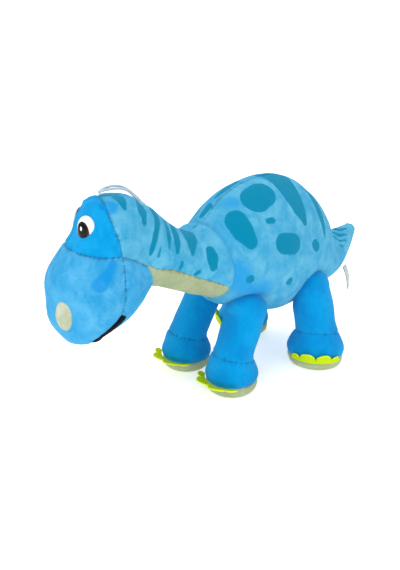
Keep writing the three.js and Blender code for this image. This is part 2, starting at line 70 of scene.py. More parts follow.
# %% Camera
CAMERA_AROUND, CAMERA_ABOVE, CAMERA_AWAY = 48.0, 20.8, 0.600  # degrees, degrees, metres
CAMERA_TARGET = Vector((0, -0.05536, 0.1086))
SENSOR_HEIGHT, LENS = 36, 36.76  # millimetres
scene = bpy.context.scene
camera_data = bpy.data.cameras.new("camera")
camera_data.sensor_fit = "VERTICAL"
camera_data.sensor_height = SENSOR_HEIGHT
camera_data.lens = LENS
camera = bpy.data.objects.new("camera", camera_data)
scene.collection.objects.link(camera)
around, above = math.radians(CAMERA_AROUND), math.radians(CAMERA_ABOVE)
back = Vector((math.sin(around) * math.cos(above), -math.cos(around) * math.cos(above),
               math.sin(above)))
camera.location = CAMERA_TARGET + back * CAMERA_AWAY
camera.rotation_euler = (-back).to_track_quat("-Z", "Y").to_euler()
scene.camera = camera
print("camera at", [round(x, 4) for x in camera.location])

# %% [markdown]
# ## Node helpers
# Every finish is made of shader nodes. Two short helpers keep those recipes readable: one adds a
# node and fills or links its sockets, the other mixes two colours.

# %% Helpers for materials
def colour(code):
    """A hex colour as the linear values that Blender's shaders use."""
    parts = [int(code[i:i + 2], 16) / 255 for i in (1, 3, 5)]
    return [p / 12.92 if p <= 0.04045 else ((p + 0.055) / 1.055) ** 2.4 for p in parts] + [1]


def add_node(tree, kind, sockets=None, **settings):
    """A node whose sockets are linked where a socket is given, and set where a value is."""
    made = tree.nodes.new(kind)
    for key, value in settings.items():
        setattr(made, key, value)
    for key, value in (sockets or {}).items():
        if isinstance(value, bpy.types.NodeSocket):
            tree.links.new(value, made.inputs[key])
        else:
            made.inputs[key].default_value = value
    return made


def mix(tree, share, one, other):
    """One colour turning into the other as the share goes from 0 to 1."""
    made = add_node(tree, "ShaderNodeMix", {0: share, 6: one, 7: other}, data_type="RGBA")
    return made.outputs[2]


def step_between(tree, value, low, high, to_low=0.0, to_high=1.0):
    """A soft step: to_low below low, to_high above high."""
    made = add_node(tree, "ShaderNodeMapRange", {
        "Value": value, "From Min": low, "From Max": high, "To Min": to_low, "To Max": to_high,
    }, interpolation_type="SMOOTHSTEP")
    return made.outputs["Result"]


def grain(tree, scale, detail=2.0, rough=0.5, warp=0.0, stretch=(1, 1, 1)):
    """Noise in the object's own space, with scale in features per metre."""
    place = add_node(tree, "ShaderNodeTexCoord").outputs["Object"]
    moved = add_node(tree, "ShaderNodeMapping", {"Vector": place, "Scale": stretch})
    made = add_node(tree, "ShaderNodeTexNoise", {
        "Vector": moved.outputs["Vector"], "Scale": scale, "Detail": detail,
        "Roughness": rough, "Distortion": warp})
    return made.outputs["Fac"]


def sums(tree, operation, one, other):
    made = add_node(tree, "ShaderNodeMath", {0: one, 1: other}, operation=operation)
    return made.outputs["Value"]


def attribute(tree, name):
    """A number that the mesh carries on its points."""
    return add_node(tree, "ShaderNodeAttribute", attribute_name=name).outputs["Fac"]


def new_material(name, roughness, **sockets):
    material = bpy.data.materials.new(name)
    material.use_nodes = True
    shader = material.node_tree.nodes["Principled BSDF"]
    shader.inputs["Roughness"].default_value = roughness
    for key, value in sockets.items():
        shader.inputs[key.replace("_", " ")].default_value = value
    return material, material.node_tree, shader


print("a mid grey is", round(colour("#808080")[0], 3), "in linear light")

# %% [markdown]
# ## Short plush
# Plush is a knitted back with a short cut pile. Light catches the pile at its tips, so the cloth
# looks paler where it turns away from the eye: that is the sheen. Where a hand has brushed the
# pile the other way it shows a deeper patch of the same blue. Four things travel with each panel
# as numbers on its points: how deep the brushed patch is, how far the printed spots are, how far
# the nearest seam is, and how the puckers ripple along it. The shader reads them, and paints
# shade into the bottom of each seam and light and shade along its puckers.

# %% The plush recipe
PILE_SCALE = 1500  # tufts per metre
NAP_SCALE = 58  # brushed patches per metre
STREAK_SCALE = 260  # strokes of flattened pile per metre
BRUSHED_DEPTH = 0.75  # how far a brushed patch goes towards its deeper blue
SEAM_SHADE = 0.86  # painted shade: the share of the cloth's colour left at the bottom of a seam
PILE_LIGHT, PILE_BLUE = 0.42, [0.45, 0.82, 1.0, 1]  # how wide the sheen is, and its colour


def plush(name, base, light, deep, print_colour=None, print_light=None, sheen=0.16,
          pucker_light_and_shade=0.17):
    """Short pile: three depths of one colour, printed marks if there are any, painted shade in the
    seams, painted light and shade along their puckers, and fuzz.
    """
    material, tree, shader = new_material(
        name, 0.93, Sheen_Weight=sheen, Sheen_Roughness=PILE_LIGHT, Sheen_Tint=PILE_BLUE,
        Specular_IOR_Level=0.06)
    nap = grain(tree, NAP_SCALE, 4, 0.62, 0.5)
    tufts = grain(tree, PILE_SCALE, 3, 0.7)
    streaks = grain(tree, STREAK_SCALE, 3, 0.6, 0.8, (1, 1, 0.45))
    tint = mix(tree, step_between(tree, nap, 0.34, 0.74), colour(base), colour(light))
    tint = mix(tree, step_between(tree, streaks, 0.42, 0.75, 0, 0.35), tint, colour(light))
    brushed = sums(tree, "ADD", attribute(tree, "brushed"),
                   step_between(tree, nap, 0.35, 0.65, -0.22, 0.22))
    tint = mix(tree, step_between(tree, brushed, 0.25, 0.8, 0, BRUSHED_DEPTH), tint, colour(deep))
    if print_colour:
        edge = sums(tree, "ADD", attribute(tree, "print_distance"),
                    step_between(tree, tufts, 0.3, 0.7, -0.55, 0.55))
        inked = mix(tree, step_between(tree, tufts, 0.35, 0.7, 0, 0.45),
                    colour(print_colour), colour(print_light))
        tint = mix(tree, step_between(tree, edge, -0.45, 0.45, 1, 0), tint, inked)
    # painted shade: the cloth darkens towards the bottom of each seam's valley
    seam = attribute(tree, "seam_distance")
    near_seam = step_between(tree, seam, 0.0, 1.2, SEAM_SHADE, 1)
    # painted light and shade: the pucker noise lightens and darkens the cloth along each seam
    ripple = step_between(tree, attribute(tree, "seam_ripple"), -0.4, 0.4, -1, 1)
    ripple = sums(tree, "MULTIPLY", ripple, step_between(tree, seam, 0.4, 3.4, pucker_light_and_shade, 0))
    flecks = step_between(tree, tufts, 0.3, 0.7, 0.84, 1.08)
    shade = sums(tree, "MULTIPLY", sums(tree, "ADD", near_seam, ripple), flecks)
    tinted = add_node(tree, "ShaderNodeVectorMath", {0: tint, 3: shade}, operation="SCALE")
    tree.links.new(tinted.outputs["Vector"], shader.inputs["Base Color"])
    relief = sums(tree, "ADD", tufts, sums(tree, "MULTIPLY", streaks, 0.8))
    bump = add_node(tree, "ShaderNodeBump", {
        "Height": relief, "Strength": 0.8, "Distance": 0.0011})
    tree.links.new(bump.outputs["Normal"], shader.inputs["Normal"])
    return material


printed_plush = plush("printed_plush", "#3da5d4", "#6abfe0", "#0098e0", "#0086b4", "#0098a4")
face_plush = plush("face_plush", "#30a0da", "#5cb8e8", "#0092de")
azure_plush = plush("azure_plush", "#0099dd", "#14aaec", "#0088d2")
cream_plush = plush("cream_plush", "#b4bf97", "#c8d1af", "#a6b288", sheen=0.1)
# a darker copy of the cream plush: painted shade, for the throat lies under the neck
throat_plush_painted_shade = plush("throat_plush_painted_shade", "#a0ab83", "#b6bf98", "#929e76", sheen=0.08)
nostril_pile = plush("nostril_pile", "#c3ccab", "#dfe5cd", "#b4bf99", sheen=0.2)
print("plush finishes", [made.name for made in (
    printed_plush, face_plush, azure_plush, cream_plush, throat_plush_painted_shade, nostril_pile)])

# %% [markdown]
# ## Felt, plastic, cord and ribbon
# Felt is a matt mat of fibres with a paler cut edge. The eyes are glossy moulded plastic. The
# loop and the sewn-in label are satin: smoother, with a fine weave.

# %% The smaller finishes
FELT_SCALE, CLOUD_SCALE = 900, 160  # fibres of felt, and cloudy patches of plastic, per metre


def felt(name, base, light, edge):
    """A matt mat of fibres; the number cut_edge says where its paler cut shows."""
    material, tree, shader = new_material(
        name, 0.95, Sheen_Weight=0.04, Sheen_Roughness=0.5, Specular_IOR_Level=0.05)
    mat = grain(tree, FELT_SCALE, 4, 0.75, 0.6)
    tint = mix(tree, step_between(tree, mat, 0.35, 0.7), colour(base), colour(light))
    tint = mix(tree, step_between(tree, attribute(tree, "cut_edge"), 0.3, 0.9), tint, colour(edge))
    tree.links.new(tint, shader.inputs["Base Color"])
    bump = add_node(tree, "ShaderNodeBump", {"Height": mat, "Strength": 0.5, "Distance": 0.0005})
    tree.links.new(bump.outputs["Normal"], shader.inputs["Normal"])
    return material


def gloss(name, base, light, roughness):
    """Moulded plastic with a second colour low down, where the number called down says so: on the
    iris a paler brown, and on the white a painted grey shade.
    """
    material, tree, shader = new_material(
        name, roughness, Coat_Weight=0.08, Coat_Roughness=0.05, Specular_IOR_Level=0.14)
    cloud = grain(tree, CLOUD_SCALE, 2, 0.5)
    tint = mix(tree, attribute(tree, "down"), colour(base), colour(light))
    tint = mix(tree, step_between(tree, cloud, 0.4, 0.7, 0, 0.12), tint, colour(light))
    tree.links.new(tint, shader.inputs["Base Color"])
    return material


def satin(name, base, light, ribs):
    """A smooth weave with its ribs per metre."""
    material, tree, shader = new_material(
        name, 0.42, Sheen_Weight=0.3, Specular_IOR_Level=0.45)
    weave = grain(tree, ribs, 2, 0.5, 0.2, (1, 1, 3))
    tint = mix(tree, step_between(tree, weave, 0.4, 0.62), colour(base), colour(light))
    tree.links.new(tint, shader.inputs["Base Color"])
    bump = add_node(tree, "ShaderNodeBump", {"Height": weave, "Strength": 0.4, "Distance": 0.0003})
    tree.links.new(bump.outputs["Normal"], shader.inputs["Normal"])
    return material


lime_felt = felt("lime_felt", "#aecb08", "#c6e010", "#d8ec28")
black_felt = felt("black_felt", "#060607", "#15161a", "#1b1c20")
# the white turns grey towards its bottom: painted shade
eye_white = gloss("eye_white", "#f3f5f6", "#d3dade", 0.22)
iris_brown = gloss("iris_brown", "#2a120a", "#8a4a26", 0.12)
pupil_black = gloss("pupil_black", "#050506", "#0c0c0e", 0.08)
loop_satin = satin("loop_satin", "#8fb0c0", "#c2d5de", 900)
label_satin = satin("label_satin", "#8ea3a2", "#c2cfce", 1400)
print(len(bpy.data.materials), "finishes in all")

# %% [markdown]
# ## The hanging loop
# A thin satin cord: both ends are sewn into the seam on top of the head, and the loop lies back
# over the nape. A cord is a fixed length of something flexible, so it is drawn as one smooth
# curve through its route.

# %% Hanging loop
LOOP_DIAMETER = 2.2
STRAND_GAP = 1.6  # from the middle of the loop to either strand
LOOP_MIDDLE = [  # from the nape: out of the head's top, back and down
    (-12, -29.8, 40.3), (-11.6, -26.4, 42.1), (-11, -21.4, 43.7), (-10, -14.4, 44.3),
    (-9, -7.5, 42.7), (-8, -1.6, 39.5), (-7, 3.2, 35.3), (-6, 8, 30.5), (-5.2, 11.4, 26.3)]
LOOP_TIP = (-4.9, 14.2, 24.7)
STRAND_DROP = [-0.4, 0.4, 1.4, 1.8, 1.2, 0.4, 0.8, 1.2, 1]  # of the strand that comes back
LOOP_ROUTE = [(x - STRAND_GAP, y + 1, z) for x, y, z in LOOP_MIDDLE] + [LOOP_TIP] + [
    (x + STRAND_GAP, y - 1, z - drop)
    for (x, y, z), drop in zip(LOOP_MIDDLE[::-1], STRAND_DROP[::-1])]


def smooth_line(points, per_span):
    """A curve through points, with per_span steps between each pair."""
    points = np.array(points, float)
    padded = np.vstack([2 * points[0] - points[1], points, 2 * points[-1] - points[-2]])
    line = []
    for a, b, c, d in zip(padded, padded[1:], padded[2:], padded[3:]):
        for t in np.arange(per_span) / per_span:
            line.append(0.5 * (2 * b + (c - a) * t + (2 * a - 5 * b + 4 * c - d) * t * t
                               + (3 * b - a - 3 * c + d) * t ** 3))
    return np.array(line + [points[-1]])


loop_line = smooth_line(LOOP_ROUTE, 4) + nape
loop_curve = bpy.data.curves.new("hanging_loop_cord", "CURVE")
loop_curve.dimensions = "3D"
loop_curve.bevel_depth = LOOP_DIAMETER / 2 * MM
loop_curve.bevel_resolution = 4
loop_curve.use_fill_caps = True
strand = loop_curve.splines.new("POLY")
strand.points.add(len(loop_line) - 1)
for point, place in zip(strand.points, loop_line):
    point.co = (*(place * MM), 1)
loop_curve.materials.append(loop_satin)
hanging_loop = bpy.data.objects.new("hanging_loop_cord", loop_curve)
scene.collection.objects.link(hanging_loop)
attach(hanging_loop, "head")
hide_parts("hang_loop")

# %% [markdown]
# ## How a sewn form is made
# A pattern maker thinks in cross sections: how wide and how deep the body is at the shoulder, at
# the belly, at the rump. Here each section is one row of numbers, and a smooth curve through the
# rows gives as many rings as the finish needs. The ends close in a dome.

# %% Lofting a form through its sections
class Form:
    """A surface in millimetres: points, and faces that list them."""

    def __init__(self, points, faces):
        self.points = np.array(points, float)
        self.faces = faces

    def normals(self):
        corners = np.array([(f[0], f[i], f[i + 1]) for f in self.faces
                            for i in range(1, len(f) - 1)])
        a, b, c = (self.points[corners[:, k]] for k in range(3))
        square = np.cross(b - a, c - a)
        total = np.zeros_like(self.points)
        for k in range(3):
            np.add.at(total, corners[:, k], square)
        return total / np.maximum(np.linalg.norm(total, axis=1, keepdims=True), 1e-12)

    def tree(self):
        return BVHTree.FromPolygons(self.points.tolist(), self.faces)


def smooth_rows(rows, spacing):
    """The rows of a table, with smooth rows added so that they lie about a spacing apart."""
    rows = np.array(rows, float)
    steps = np.linalg.norm(np.diff(rows[:, :3], axis=0), axis=1)
    along = np.concatenate([[0], np.cumsum(steps)])
    slope = np.gradient(rows, along, axis=0)
    t = np.linspace(0, along[-1], max(2, round(along[-1] / spacing)) + 1)
    i = np.clip(np.searchsorted(along, t, side="right") - 1, 0, len(along) - 2)
    span = (along[i + 1] - along[i])[:, None]
    u = (t - along[i])[:, None] / span
    return ((2 * u ** 3 - 3 * u ** 2 + 1) * rows[i] + (u ** 3 - 2 * u ** 2 + u) * span * slope[i]
            + (3 * u ** 2 - 2 * u ** 3) * rows[i + 1] + (u ** 3 - u ** 2) * span * slope[i + 1])


def loft(rows, domes, sides, spacing):
    """Rows are [x, y, z, half width, half depth, lean, peak]; a dome of 0 leaves a flat end.
    The peak narrows the upper half of a section like an egg's."""
    rings = smooth_rows([list(row) + [0] * (7 - len(row)) for row in rows], spacing)
    leans = np.radians(rings[:, 5])
    deep = np.stack([0 * leans, np.sin(leans), np.cos(leans)], 1)

    def end_rows(index, inner, dome):
        ring, out = rings[index], np.cross([1, 0, 0], deep[index])
        if out @ (ring[:3] - rings[inner][:3]) < 0:
            out = -out
        count = max(3, round((dome or ring[3]) / spacing))
        made = []
        for k in range(1, count):
            turn = k / count * math.pi / 2
            size = math.cos(turn) if dome else 1 - k / count
            made.append((ring[:3] + out * dome * math.sin(turn), ring[3] * size,
                         ring[4] * size, deep[index], ring[6]))
        return made, ring[:3] + out * dome

    first, start = end_rows(0, 1, domes[0])
    final, finish = end_rows(-1, -2, domes[1])
    body = [(ring[:3], ring[3], ring[4], d, ring[6]) for ring, d in zip(rings, deep)]
    stack = first[::-1] + body + final
    turns = np.arange(sides) / sides * 2 * math.pi
    points = [start]
    for centre, width, depth, axis, peak in stack:
        slim = 1 - peak * np.maximum(0, np.sin(turns))
        across = np.outer(width * slim * np.cos(turns), [1, 0, 0])
        points.extend(centre + across + np.outer(depth * np.sin(turns), axis))
    points.append(finish)
    top = len(points) - 1
    faces = []
    for j in range(sides):
        n = (j + 1) % sides
        faces.append((0, 1 + n, 1 + j))
        faces.append((top, top - sides + j, top - sides + n))
        for i in range(len(stack) - 1):
            a, b = 1 + i * sides, 1 + (i + 1) * sides
            faces.append((a + j, a + n, b + n, b + j))
    made = Form(points, faces)
    middle = made.points.mean(0)
    if ((made.points - middle) * made.normals()).sum() < 0:
        made.faces = [face[::-1] for face in faces]
    return made


# %% [markdown]
# ## The five kinds of form
# The torso, the neck, the head, the tail and the legs each have their own table. The tables give
# shares of a few sizes, so that a form can be made longer or fatter in one place.

# %% Sizes and section tables
TORSO_LENGTH, TORSO_HALF_WIDTH, TORSO_HALF_HEIGHT = 186, 57, 76
torso_front = shoulder[1] - 8
torso_middle = shoulder[2] - 1
torso_rows = [
    [0, torso_front + share * TORSO_LENGTH, torso_middle + drop,
     width * TORSO_HALF_WIDTH, height * TORSO_HALF_HEIGHT, lean, peak]
    for share, drop, width, height, lean, peak in [
        (0.00, -4, 0.76, 0.60, -8, 0.10), (0.13, 0, 0.92, 0.79, -8, 0.12),
        (0.31, 0, 1.00, 0.96, -6, 0.10), (0.51, -1, 1.00, 1.02, -4, 0.06),
        (0.71, -4, 0.93, 0.94, -8, 0.03), (0.86, -11, 0.74, 0.75, -14, 0),
        (0.94, -18, 0.53, 0.52, -20, 0)]]
torso_form = loft(torso_rows, (6, 12), 144, 2.4)

NECK_RADIUS = 31
neck_run = nape - shoulder
neck_rows = [
    [0, shoulder[1] + share * neck_run[1], shoulder[2] + share * neck_run[2] + sag,
     width * NECK_RADIUS, height * NECK_RADIUS, lean]
    for share, sag, width, height, lean in [
        (0.00, 0, 1.15, 1.15, -15), (0.19, -8.5, 1.34, 1.25, -7),
        (0.28, -11.5, 1.24, 1.12, -3), (0.38, -13.5, 1.16, 1.05, 0),
        (0.58, -13.5, 1.00, 0.97, 10), (0.81, -10.5, 0.94, 0.94, 30), (1.00, 0, 0.85, 0.85, 42)]]
neck_form = loft(neck_rows, (neck_rows[0][3], neck_rows[-1][3]), 108, 1.8)

HEAD_HALF_WIDTH, HEAD_DEPTH, HEAD_HEIGHT = 39, 95, 127
head_rows = [
    [0, nape[1] + ahead * HEAD_DEPTH, nape[2] + up * HEAD_HEIGHT,
     width * HEAD_HALF_WIDTH, depth * HEAD_DEPTH, 90]
    for ahead, up, width, depth in [
        (-0.245, 0.236, 0.55, 0.245), (-0.235, 0.142, 0.77, 0.325),
        (-0.265, 0.040, 0.87, 0.346), (-0.315, -0.063, 0.93, 0.405),
        (-0.375, -0.236, 1.00, 0.492), (-0.400, -0.410, 1.00, 0.481),
        (-0.488, -0.580, 0.90, 0.378), (-0.560, -0.692, 0.62, 0.216)]]
head_form = loft(head_rows, (8, 6), 144, 1.5)

TAIL_RADIUS, TAIL_REACH, TAIL_RISE = 28, 94, 24
tail_rows = [
    [0, tail_root[1] + share * TAIL_REACH, tail_root[2] + share * TAIL_RISE + sag,
     width * TAIL_RADIUS, height * TAIL_RADIUS, lean]
    for share, sag, width, height, lean in [
        (0.00, 0, 1.00, 1.00, 0), (0.30, -11, 0.97, 1.02, -6), (0.57, -11, 0.76, 0.84, -20),
        (0.80, -5, 0.47, 0.52, -32), (0.95, -1, 0.26, 0.30, -40)]]
tail_form = loft(tail_rows, (TAIL_RADIUS, 6), 88, 1.8)
for name, form in [("torso", torso_form), ("neck", neck_form), ("head", head_form),
                   ("tail", tail_form)]:
    print(name, len(form.points), "points", form.points.min(0).round(), form.points.max(0).round())

# %% [markdown]
# A leg is a straight tube that widens into a foot. Its rings stay level, so that the sole lies
# flat on the floor, and their middles climb from the foot to the hip. The front legs reach
# forward, and the rear ones stand wider and turn outwards, so each pair has its own numbers.

# %% Legs
SHAFT_RADIUS, SOLE_SEAM, ANKLE, ANKLE_TILT = 21.5, 12, 37, 14
FOOT_RADIUS = {"front": 27, "rear": 31}
STRIDE = {"front": -24, "rear": -1}
SPLAY = {"front": 3.5, "rear": 14.5}
FOOT_TURN = {"front": 0, "rear": 38}
SHAFT_SHARE = {"front": 1.0, "rear": 1.08}  # the rear legs are a little stouter


class Leg:
    """One leg: its place, its tube of rings and the way its toes face."""

    def __init__(self, end, side_name):
        self.end, self.name = end, f"{end}_{side_name}"
        self.side = 1 if side_name == "left" else -1
        self.hip = joint_at[f"{self.name}_leg_swing"]
        self.foot = self.hip + [self.side * SPLAY[end], STRIDE[end], -self.hip[2]]
        self.body = f"leg_{self.name}"
        broad, shaft = FOOT_RADIUS[end], SHAFT_SHARE[end] * SHAFT_RADIUS
        # height above the floor and radius: sole, foot, ankle, shaft and hip
        heights = [(0, 0.84 * broad), (2.2, 0.93 * broad), (0.45 * SOLE_SEAM, 0.98 * broad),
                   (SOLE_SEAM, broad), (SOLE_SEAM + 7, 1.03 * broad),
                   (ANKLE - 9, 0.93 * broad), (ANKLE, 1.06 * shaft),
                   (ANKLE + 9, shaft), (self.hip[2] - 24, shaft),
                   (self.hip[2], SHAFT_RADIUS)]
        rows = []
        for z, radius in heights:
            climb = max(0, (z - ANKLE) / (self.hip[2] - ANKLE))
            centre = self.foot + (self.hip - self.foot) * climb
            rows.append([centre[0], centre[1], z, radius, radius, 90])
        self.form = loft(rows, (0, SHAFT_RADIUS), 96, 1.6)
        turn = math.radians(self.side * FOOT_TURN[end] - 90)
        self.facing = np.array([math.cos(turn), math.sin(turn), 0])


legs = [Leg(end, side) for end in ("front", "rear") for side in ("left", "right")]
print("legs stand at", {leg.name: leg.foot.round(1).tolist() for leg in legs})

# %% [markdown]
# ## Where two forms meet
# A stuffed limb never meets a body on a sharp line. The neck flows into the head and the tail
# into the rump with a soft rise, because the same cloth runs on; a leg is sewn on and dents the
# belly. Both are one tool: points near the other form move out or in by a smooth amount.

# %% Soft meetings
def distances(tree, points):
    """Signed distance from a closed form: positive outside it."""
    found = np.zeros(len(points))
    for i, point in enumerate(points):
        near, square, _, away = tree.find_nearest(Vector(point))
        found[i] = away if (Vector(point) - near).dot(square) > 0 else -away
    return found


def meet(form, other_tree, reach, lift):
    """Moves what is within reach of the other form out by the lift, or in if it is negative."""
    away = np.abs(distances(other_tree, form.points))
    swell = np.clip(1 - away / reach, 0, 1) ** 2 * lift
    form.points = form.points + form.normals() * swell[:, None]


def turned_about(points, pivot, degrees):
    """Points turned about an upright line through the pivot."""
    angle = math.radians(degrees)
    turn = np.array([[math.cos(angle), -math.sin(angle), 0],
                     [math.sin(angle), math.cos(angle), 0], [0, 0, 1]])
    return (points - pivot) @ turn.T + pivot


HEAD_TURN = -22  # degrees; the toy looks a little to its own right
placed_head = Form(turned_about(head_form.points, nape, HEAD_TURN), head_form.faces)
neck_in_head_frame = Form(turned_about(neck_form.points, nape, -HEAD_TURN), neck_form.faces)
torso_tree, neck_tree, tail_tree = torso_form.tree(), neck_form.tree(), tail_form.tree()
head_tree, neck_by_head = placed_head.tree(), neck_in_head_frame.tree()
leg_trees = [leg.form.tree() for leg in legs]
for form, other_tree, reach, lift in [
    (head_form, neck_by_head, 16, 3.2), (neck_form, head_tree, 16, 3.2),
    (neck_form, torso_tree, 12, 0.8), (torso_form, neck_tree, 12, 0.8),
    (torso_form, tail_tree, 14, 2.5), (tail_form, torso_tree, 14, 2.5),
]:
    meet(form, other_tree, reach, lift)
for leg, leg_tree in zip(legs, leg_trees):
    meet(torso_form, leg_tree, reach=9, lift=-2.2)
    meet(leg.form, torso_tree, reach=8, lift=-1.4)
print("the torso's highest point is", round(torso_form.points[:, 2].max(), 1), "mm up")

# %% [markdown]
# ## Cutting along a seam
# To give every panel its own cloth, the surface is cut exactly where a line crosses it. The line
# is the zero of some measured value, such as the height above a tilted plane, or the distance to
# an outline drawn on the side of the head. Each edge that the line crosses is split there.

# %% Cutting a form
SNAP = 0.25  # a crossing this near an edge's end, as a share of it, moves that end instead


def cut_along(form, value_at):
    """Splits the form's faces along the line where the value is zero."""
    bm = bmesh.new()
    made = [bm.verts.new(p) for p in form.points]
    for face in form.faces:
        bm.faces.new([made[i] for i in face])
    value = dict(zip(made, value_at(form.points)))
    for edge in bm.edges:
        a, b = edge.verts
        if value[a] * value[b] < 0:
            share = value[a] / (value[a] - value[b])
            if share < SNAP or share > 1 - SNAP:
                near, far = (a, b) if share < SNAP else (b, a)
                near.co += (far.co - near.co) * min(share, 1 - share)
                value[near] = 0.0
    for edge in [e for e in bm.edges if value[e.verts[0]] * value[e.verts[1]] < 0]:
        a, b = edge.verts
        share = value[a] / (value[a] - value[b])
        _, fresh = bmesh.utils.edge_split(edge, a, share)
        value[fresh] = 0.0
    line = [v for v in bm.verts if value[v] == 0.0]
    if line:
        bmesh.ops.connect_verts(bm, verts=line)
    bm.verts.index_update()
    form.points = np.array([v.co for v in bm.verts], float)
    form.faces = [tuple(v.index for v in face.verts) for face in bm.faces]
    bm.free()


def outline_distance(points, outline):
    """Signed distance in the side view to a closed outline of (y, z): positive inside."""
    spots, corners = points[:, 1:3], np.array(outline)
    away, inside = np.full(len(spots), 1e9), np.zeros(len(spots), bool)
    for a, b in zip(corners, np.roll(corners, -1, axis=0)):
        along = b - a
        t = np.clip(((spots - a) @ along) / (along @ along), 0, 1)
        away = np.minimum(away, np.linalg.norm(spots - a - t[:, None] * along, axis=1))
        crosses = (a[1] > spots[:, 1]) != (b[1] > spots[:, 1])
        rise = np.where(crosses, (spots[:, 1] - a[1]) / (along[1] or 1e-12), 0)
        inside ^= crosses & (spots[:, 0] < a[0] + rise * along[0])
    return np.where(inside, away, -away)


# %% [markdown]
# ## Pulling the seams in
# With every face labelled by its panel, a seam is simply an edge between two labels. All points
# are moved by their distance from the nearest seam: down in the valley, up in the swell beside
# it. The puckers repeat along the seam, so their noise is read at the nearest point of the seam
# and not at the point itself. A little slow noise over the whole form is the lumpy fibre.

# %% Seam valleys, puckers and fibre
SWELL_REACH, PUCKER_REACH = 11, 5.5  # how far from a seam the swell and the puckers act
PUCKER_SIZE, LUMP_SIZE, SMALL_LUMP_SIZE, SMALL_LUMP_SHARE = 1.7, 34, 13, 0.35


def wave(points, size, seed=0.0):
    """Smooth noise with waves of this size."""
    shift = Vector((seed, 2 * seed, 3 * seed))
    return np.array([noise.noise(Vector(p) / size + shift) for p in points])


def face_centres(form):
    return np.array([form.points[list(face)].mean(0) for face in form.faces])


def seam_points(form, labels):
    """The points that lie between faces of two panels."""
    owners = {}
    for face, label in zip(form.faces, labels):
        for a, b in zip(face, face[1:] + face[:1]):
            owners.setdefault((min(a, b), max(a, b)), set()).add(label)
    return sorted({i for pair, found in owners.items() if len(found) > 1 for i in pair})


def sew(form, labels, depth=1.9, valley=2.0, swell=0.9, puckers=0.55, lumps=0.7, extra=None):
    """Moves the surface about its seams and returns what the shader needs to know of them."""
    on_seam = seam_points(form, labels)
    tree = kdtree.KDTree(len(on_seam))
    for i in on_seam:
        tree.insert(Vector(form.points[i]), i)
    tree.balance()
    nearest = [tree.find(Vector(p)) for p in form.points]
    away = np.array([found[2] for found in nearest])
    at_seam = {i: noise.noise(Vector(form.points[i]) / PUCKER_SIZE) for i in on_seam}
    ripple = np.array([at_seam[found[1]] for found in nearest])
    rise = swell * (1 - np.exp(-away / SWELL_REACH)) - depth * np.exp(-(away / valley) ** 2)
    rise += puckers * ripple * np.exp(-away / PUCKER_REACH)
    rise += lumps * wave(form.points, LUMP_SIZE, 1.7)
    rise += SMALL_LUMP_SHARE * lumps * wave(form.points, SMALL_LUMP_SIZE, 4.1)
    if extra is not None:
        rise += extra
    form.points = form.points + form.normals() * rise[:, None]
    return {"seam_distance": away, "seam_ripple": ripple}


# %% [markdown]
# ## Printed spots and brushed patches
# A printed mark is a short chain of places on the cloth, each with a radius, which makes round
# spots, eggs and tapered stripes alike. The distance to its edge is stored per point, so the
# printed edge stays crisp however coarse the mesh is. Brushed patches use the same chains with a
# wide soft edge. Most marks are given for the left side and repeat on the right; the ones along
# the back and on the turned head are printed where they stand.

# %% Distances to printed marks
FAR_FROM_PRINT = 50.0


def mark_distance(points, chains, mirrored=True):
    """Distance to the nearest mark's edge: negative inside a mark."""
    spots = points.copy()
    if mirrored:
        spots[:, 0] = np.abs(spots[:, 0])
    best = np.full(len(points), FAR_FROM_PRINT)
    for chain in chains:
        chain = np.array(chain, float)
        if len(chain) == 1:
            chain = np.vstack([chain, chain])
        for a, b in zip(chain[:-1], chain[1:]):
            along = b[:3] - a[:3]
            t = np.clip(((spots - a[:3]) @ along) / max(along @ along, 1e-9), 0, 1)
            place = a[:3] + t[:, None] * along
            radius = a[3] + t * (b[3] - a[3])
            best = np.minimum(best, np.linalg.norm(spots - place, axis=1) - radius)
    return best


def soft_patch(points, chains, edge, mirrored=True):
    """1 in a patch and 0 outside it, with an edge this wide between them."""
    return np.clip(0.5 - mark_distance(points, chains, mirrored) / edge, 0, 1)


# each place is x, y, z and a radius
TORSO_MARKS = [
    [(25, -4, 194, 15.5), (24, 6, 197, 15.5)],
    [(30, -35, 180, 12), (38, -33, 170, 11.5), (46, -29, 160, 8)],
    [(44, -4, 176, 3.4), (44, 3, 175.5, 3.4)],
    [(54, 10, 152, 11), (54, 23, 149, 11)],
    [(55, 62, 138, 5.5), (55, 59, 142, 5.5)],
    [(46, -31, 123, 5)],
    [(53, 22, 109, 5)],
    [(2, 44, 211, 18), (24, 42, 201, 15), (34, 42, 192, 13), (43, 43, 181, 10), (50, 46, 167, 4)],
    [(10, 70, 204, 4), (26, 75, 193, 6), (37, 78, 182, 6.4), (45, 79, 169, 5.8), (50, 79, 154, 3.6),
     (52, 78, 143, 1.6)],
    [(30, 99, 178, 2.4), (38, 99, 170, 2.8), (44, 98, 157, 2.2)],
]
TORSO_TOP_MARKS = [[(-6, -30, 196, 3), (-7, -12, 202, 4.5), (-7, 4, 205, 3)],
                   [(-7, -47, 180, 4), (-6, -40, 189, 5.5), (-8, -36, 193, 3)]]
TORSO_BRUSHED = [
    [(43, -43, 134, 8), (42, -34, 112, 11), (47, -13, 104, 11)],
    [(14, -40, 168, 8), (26, -40, 161, 8)], [(10, -29, 190, 6), (18, -24, 190, 5)],
]
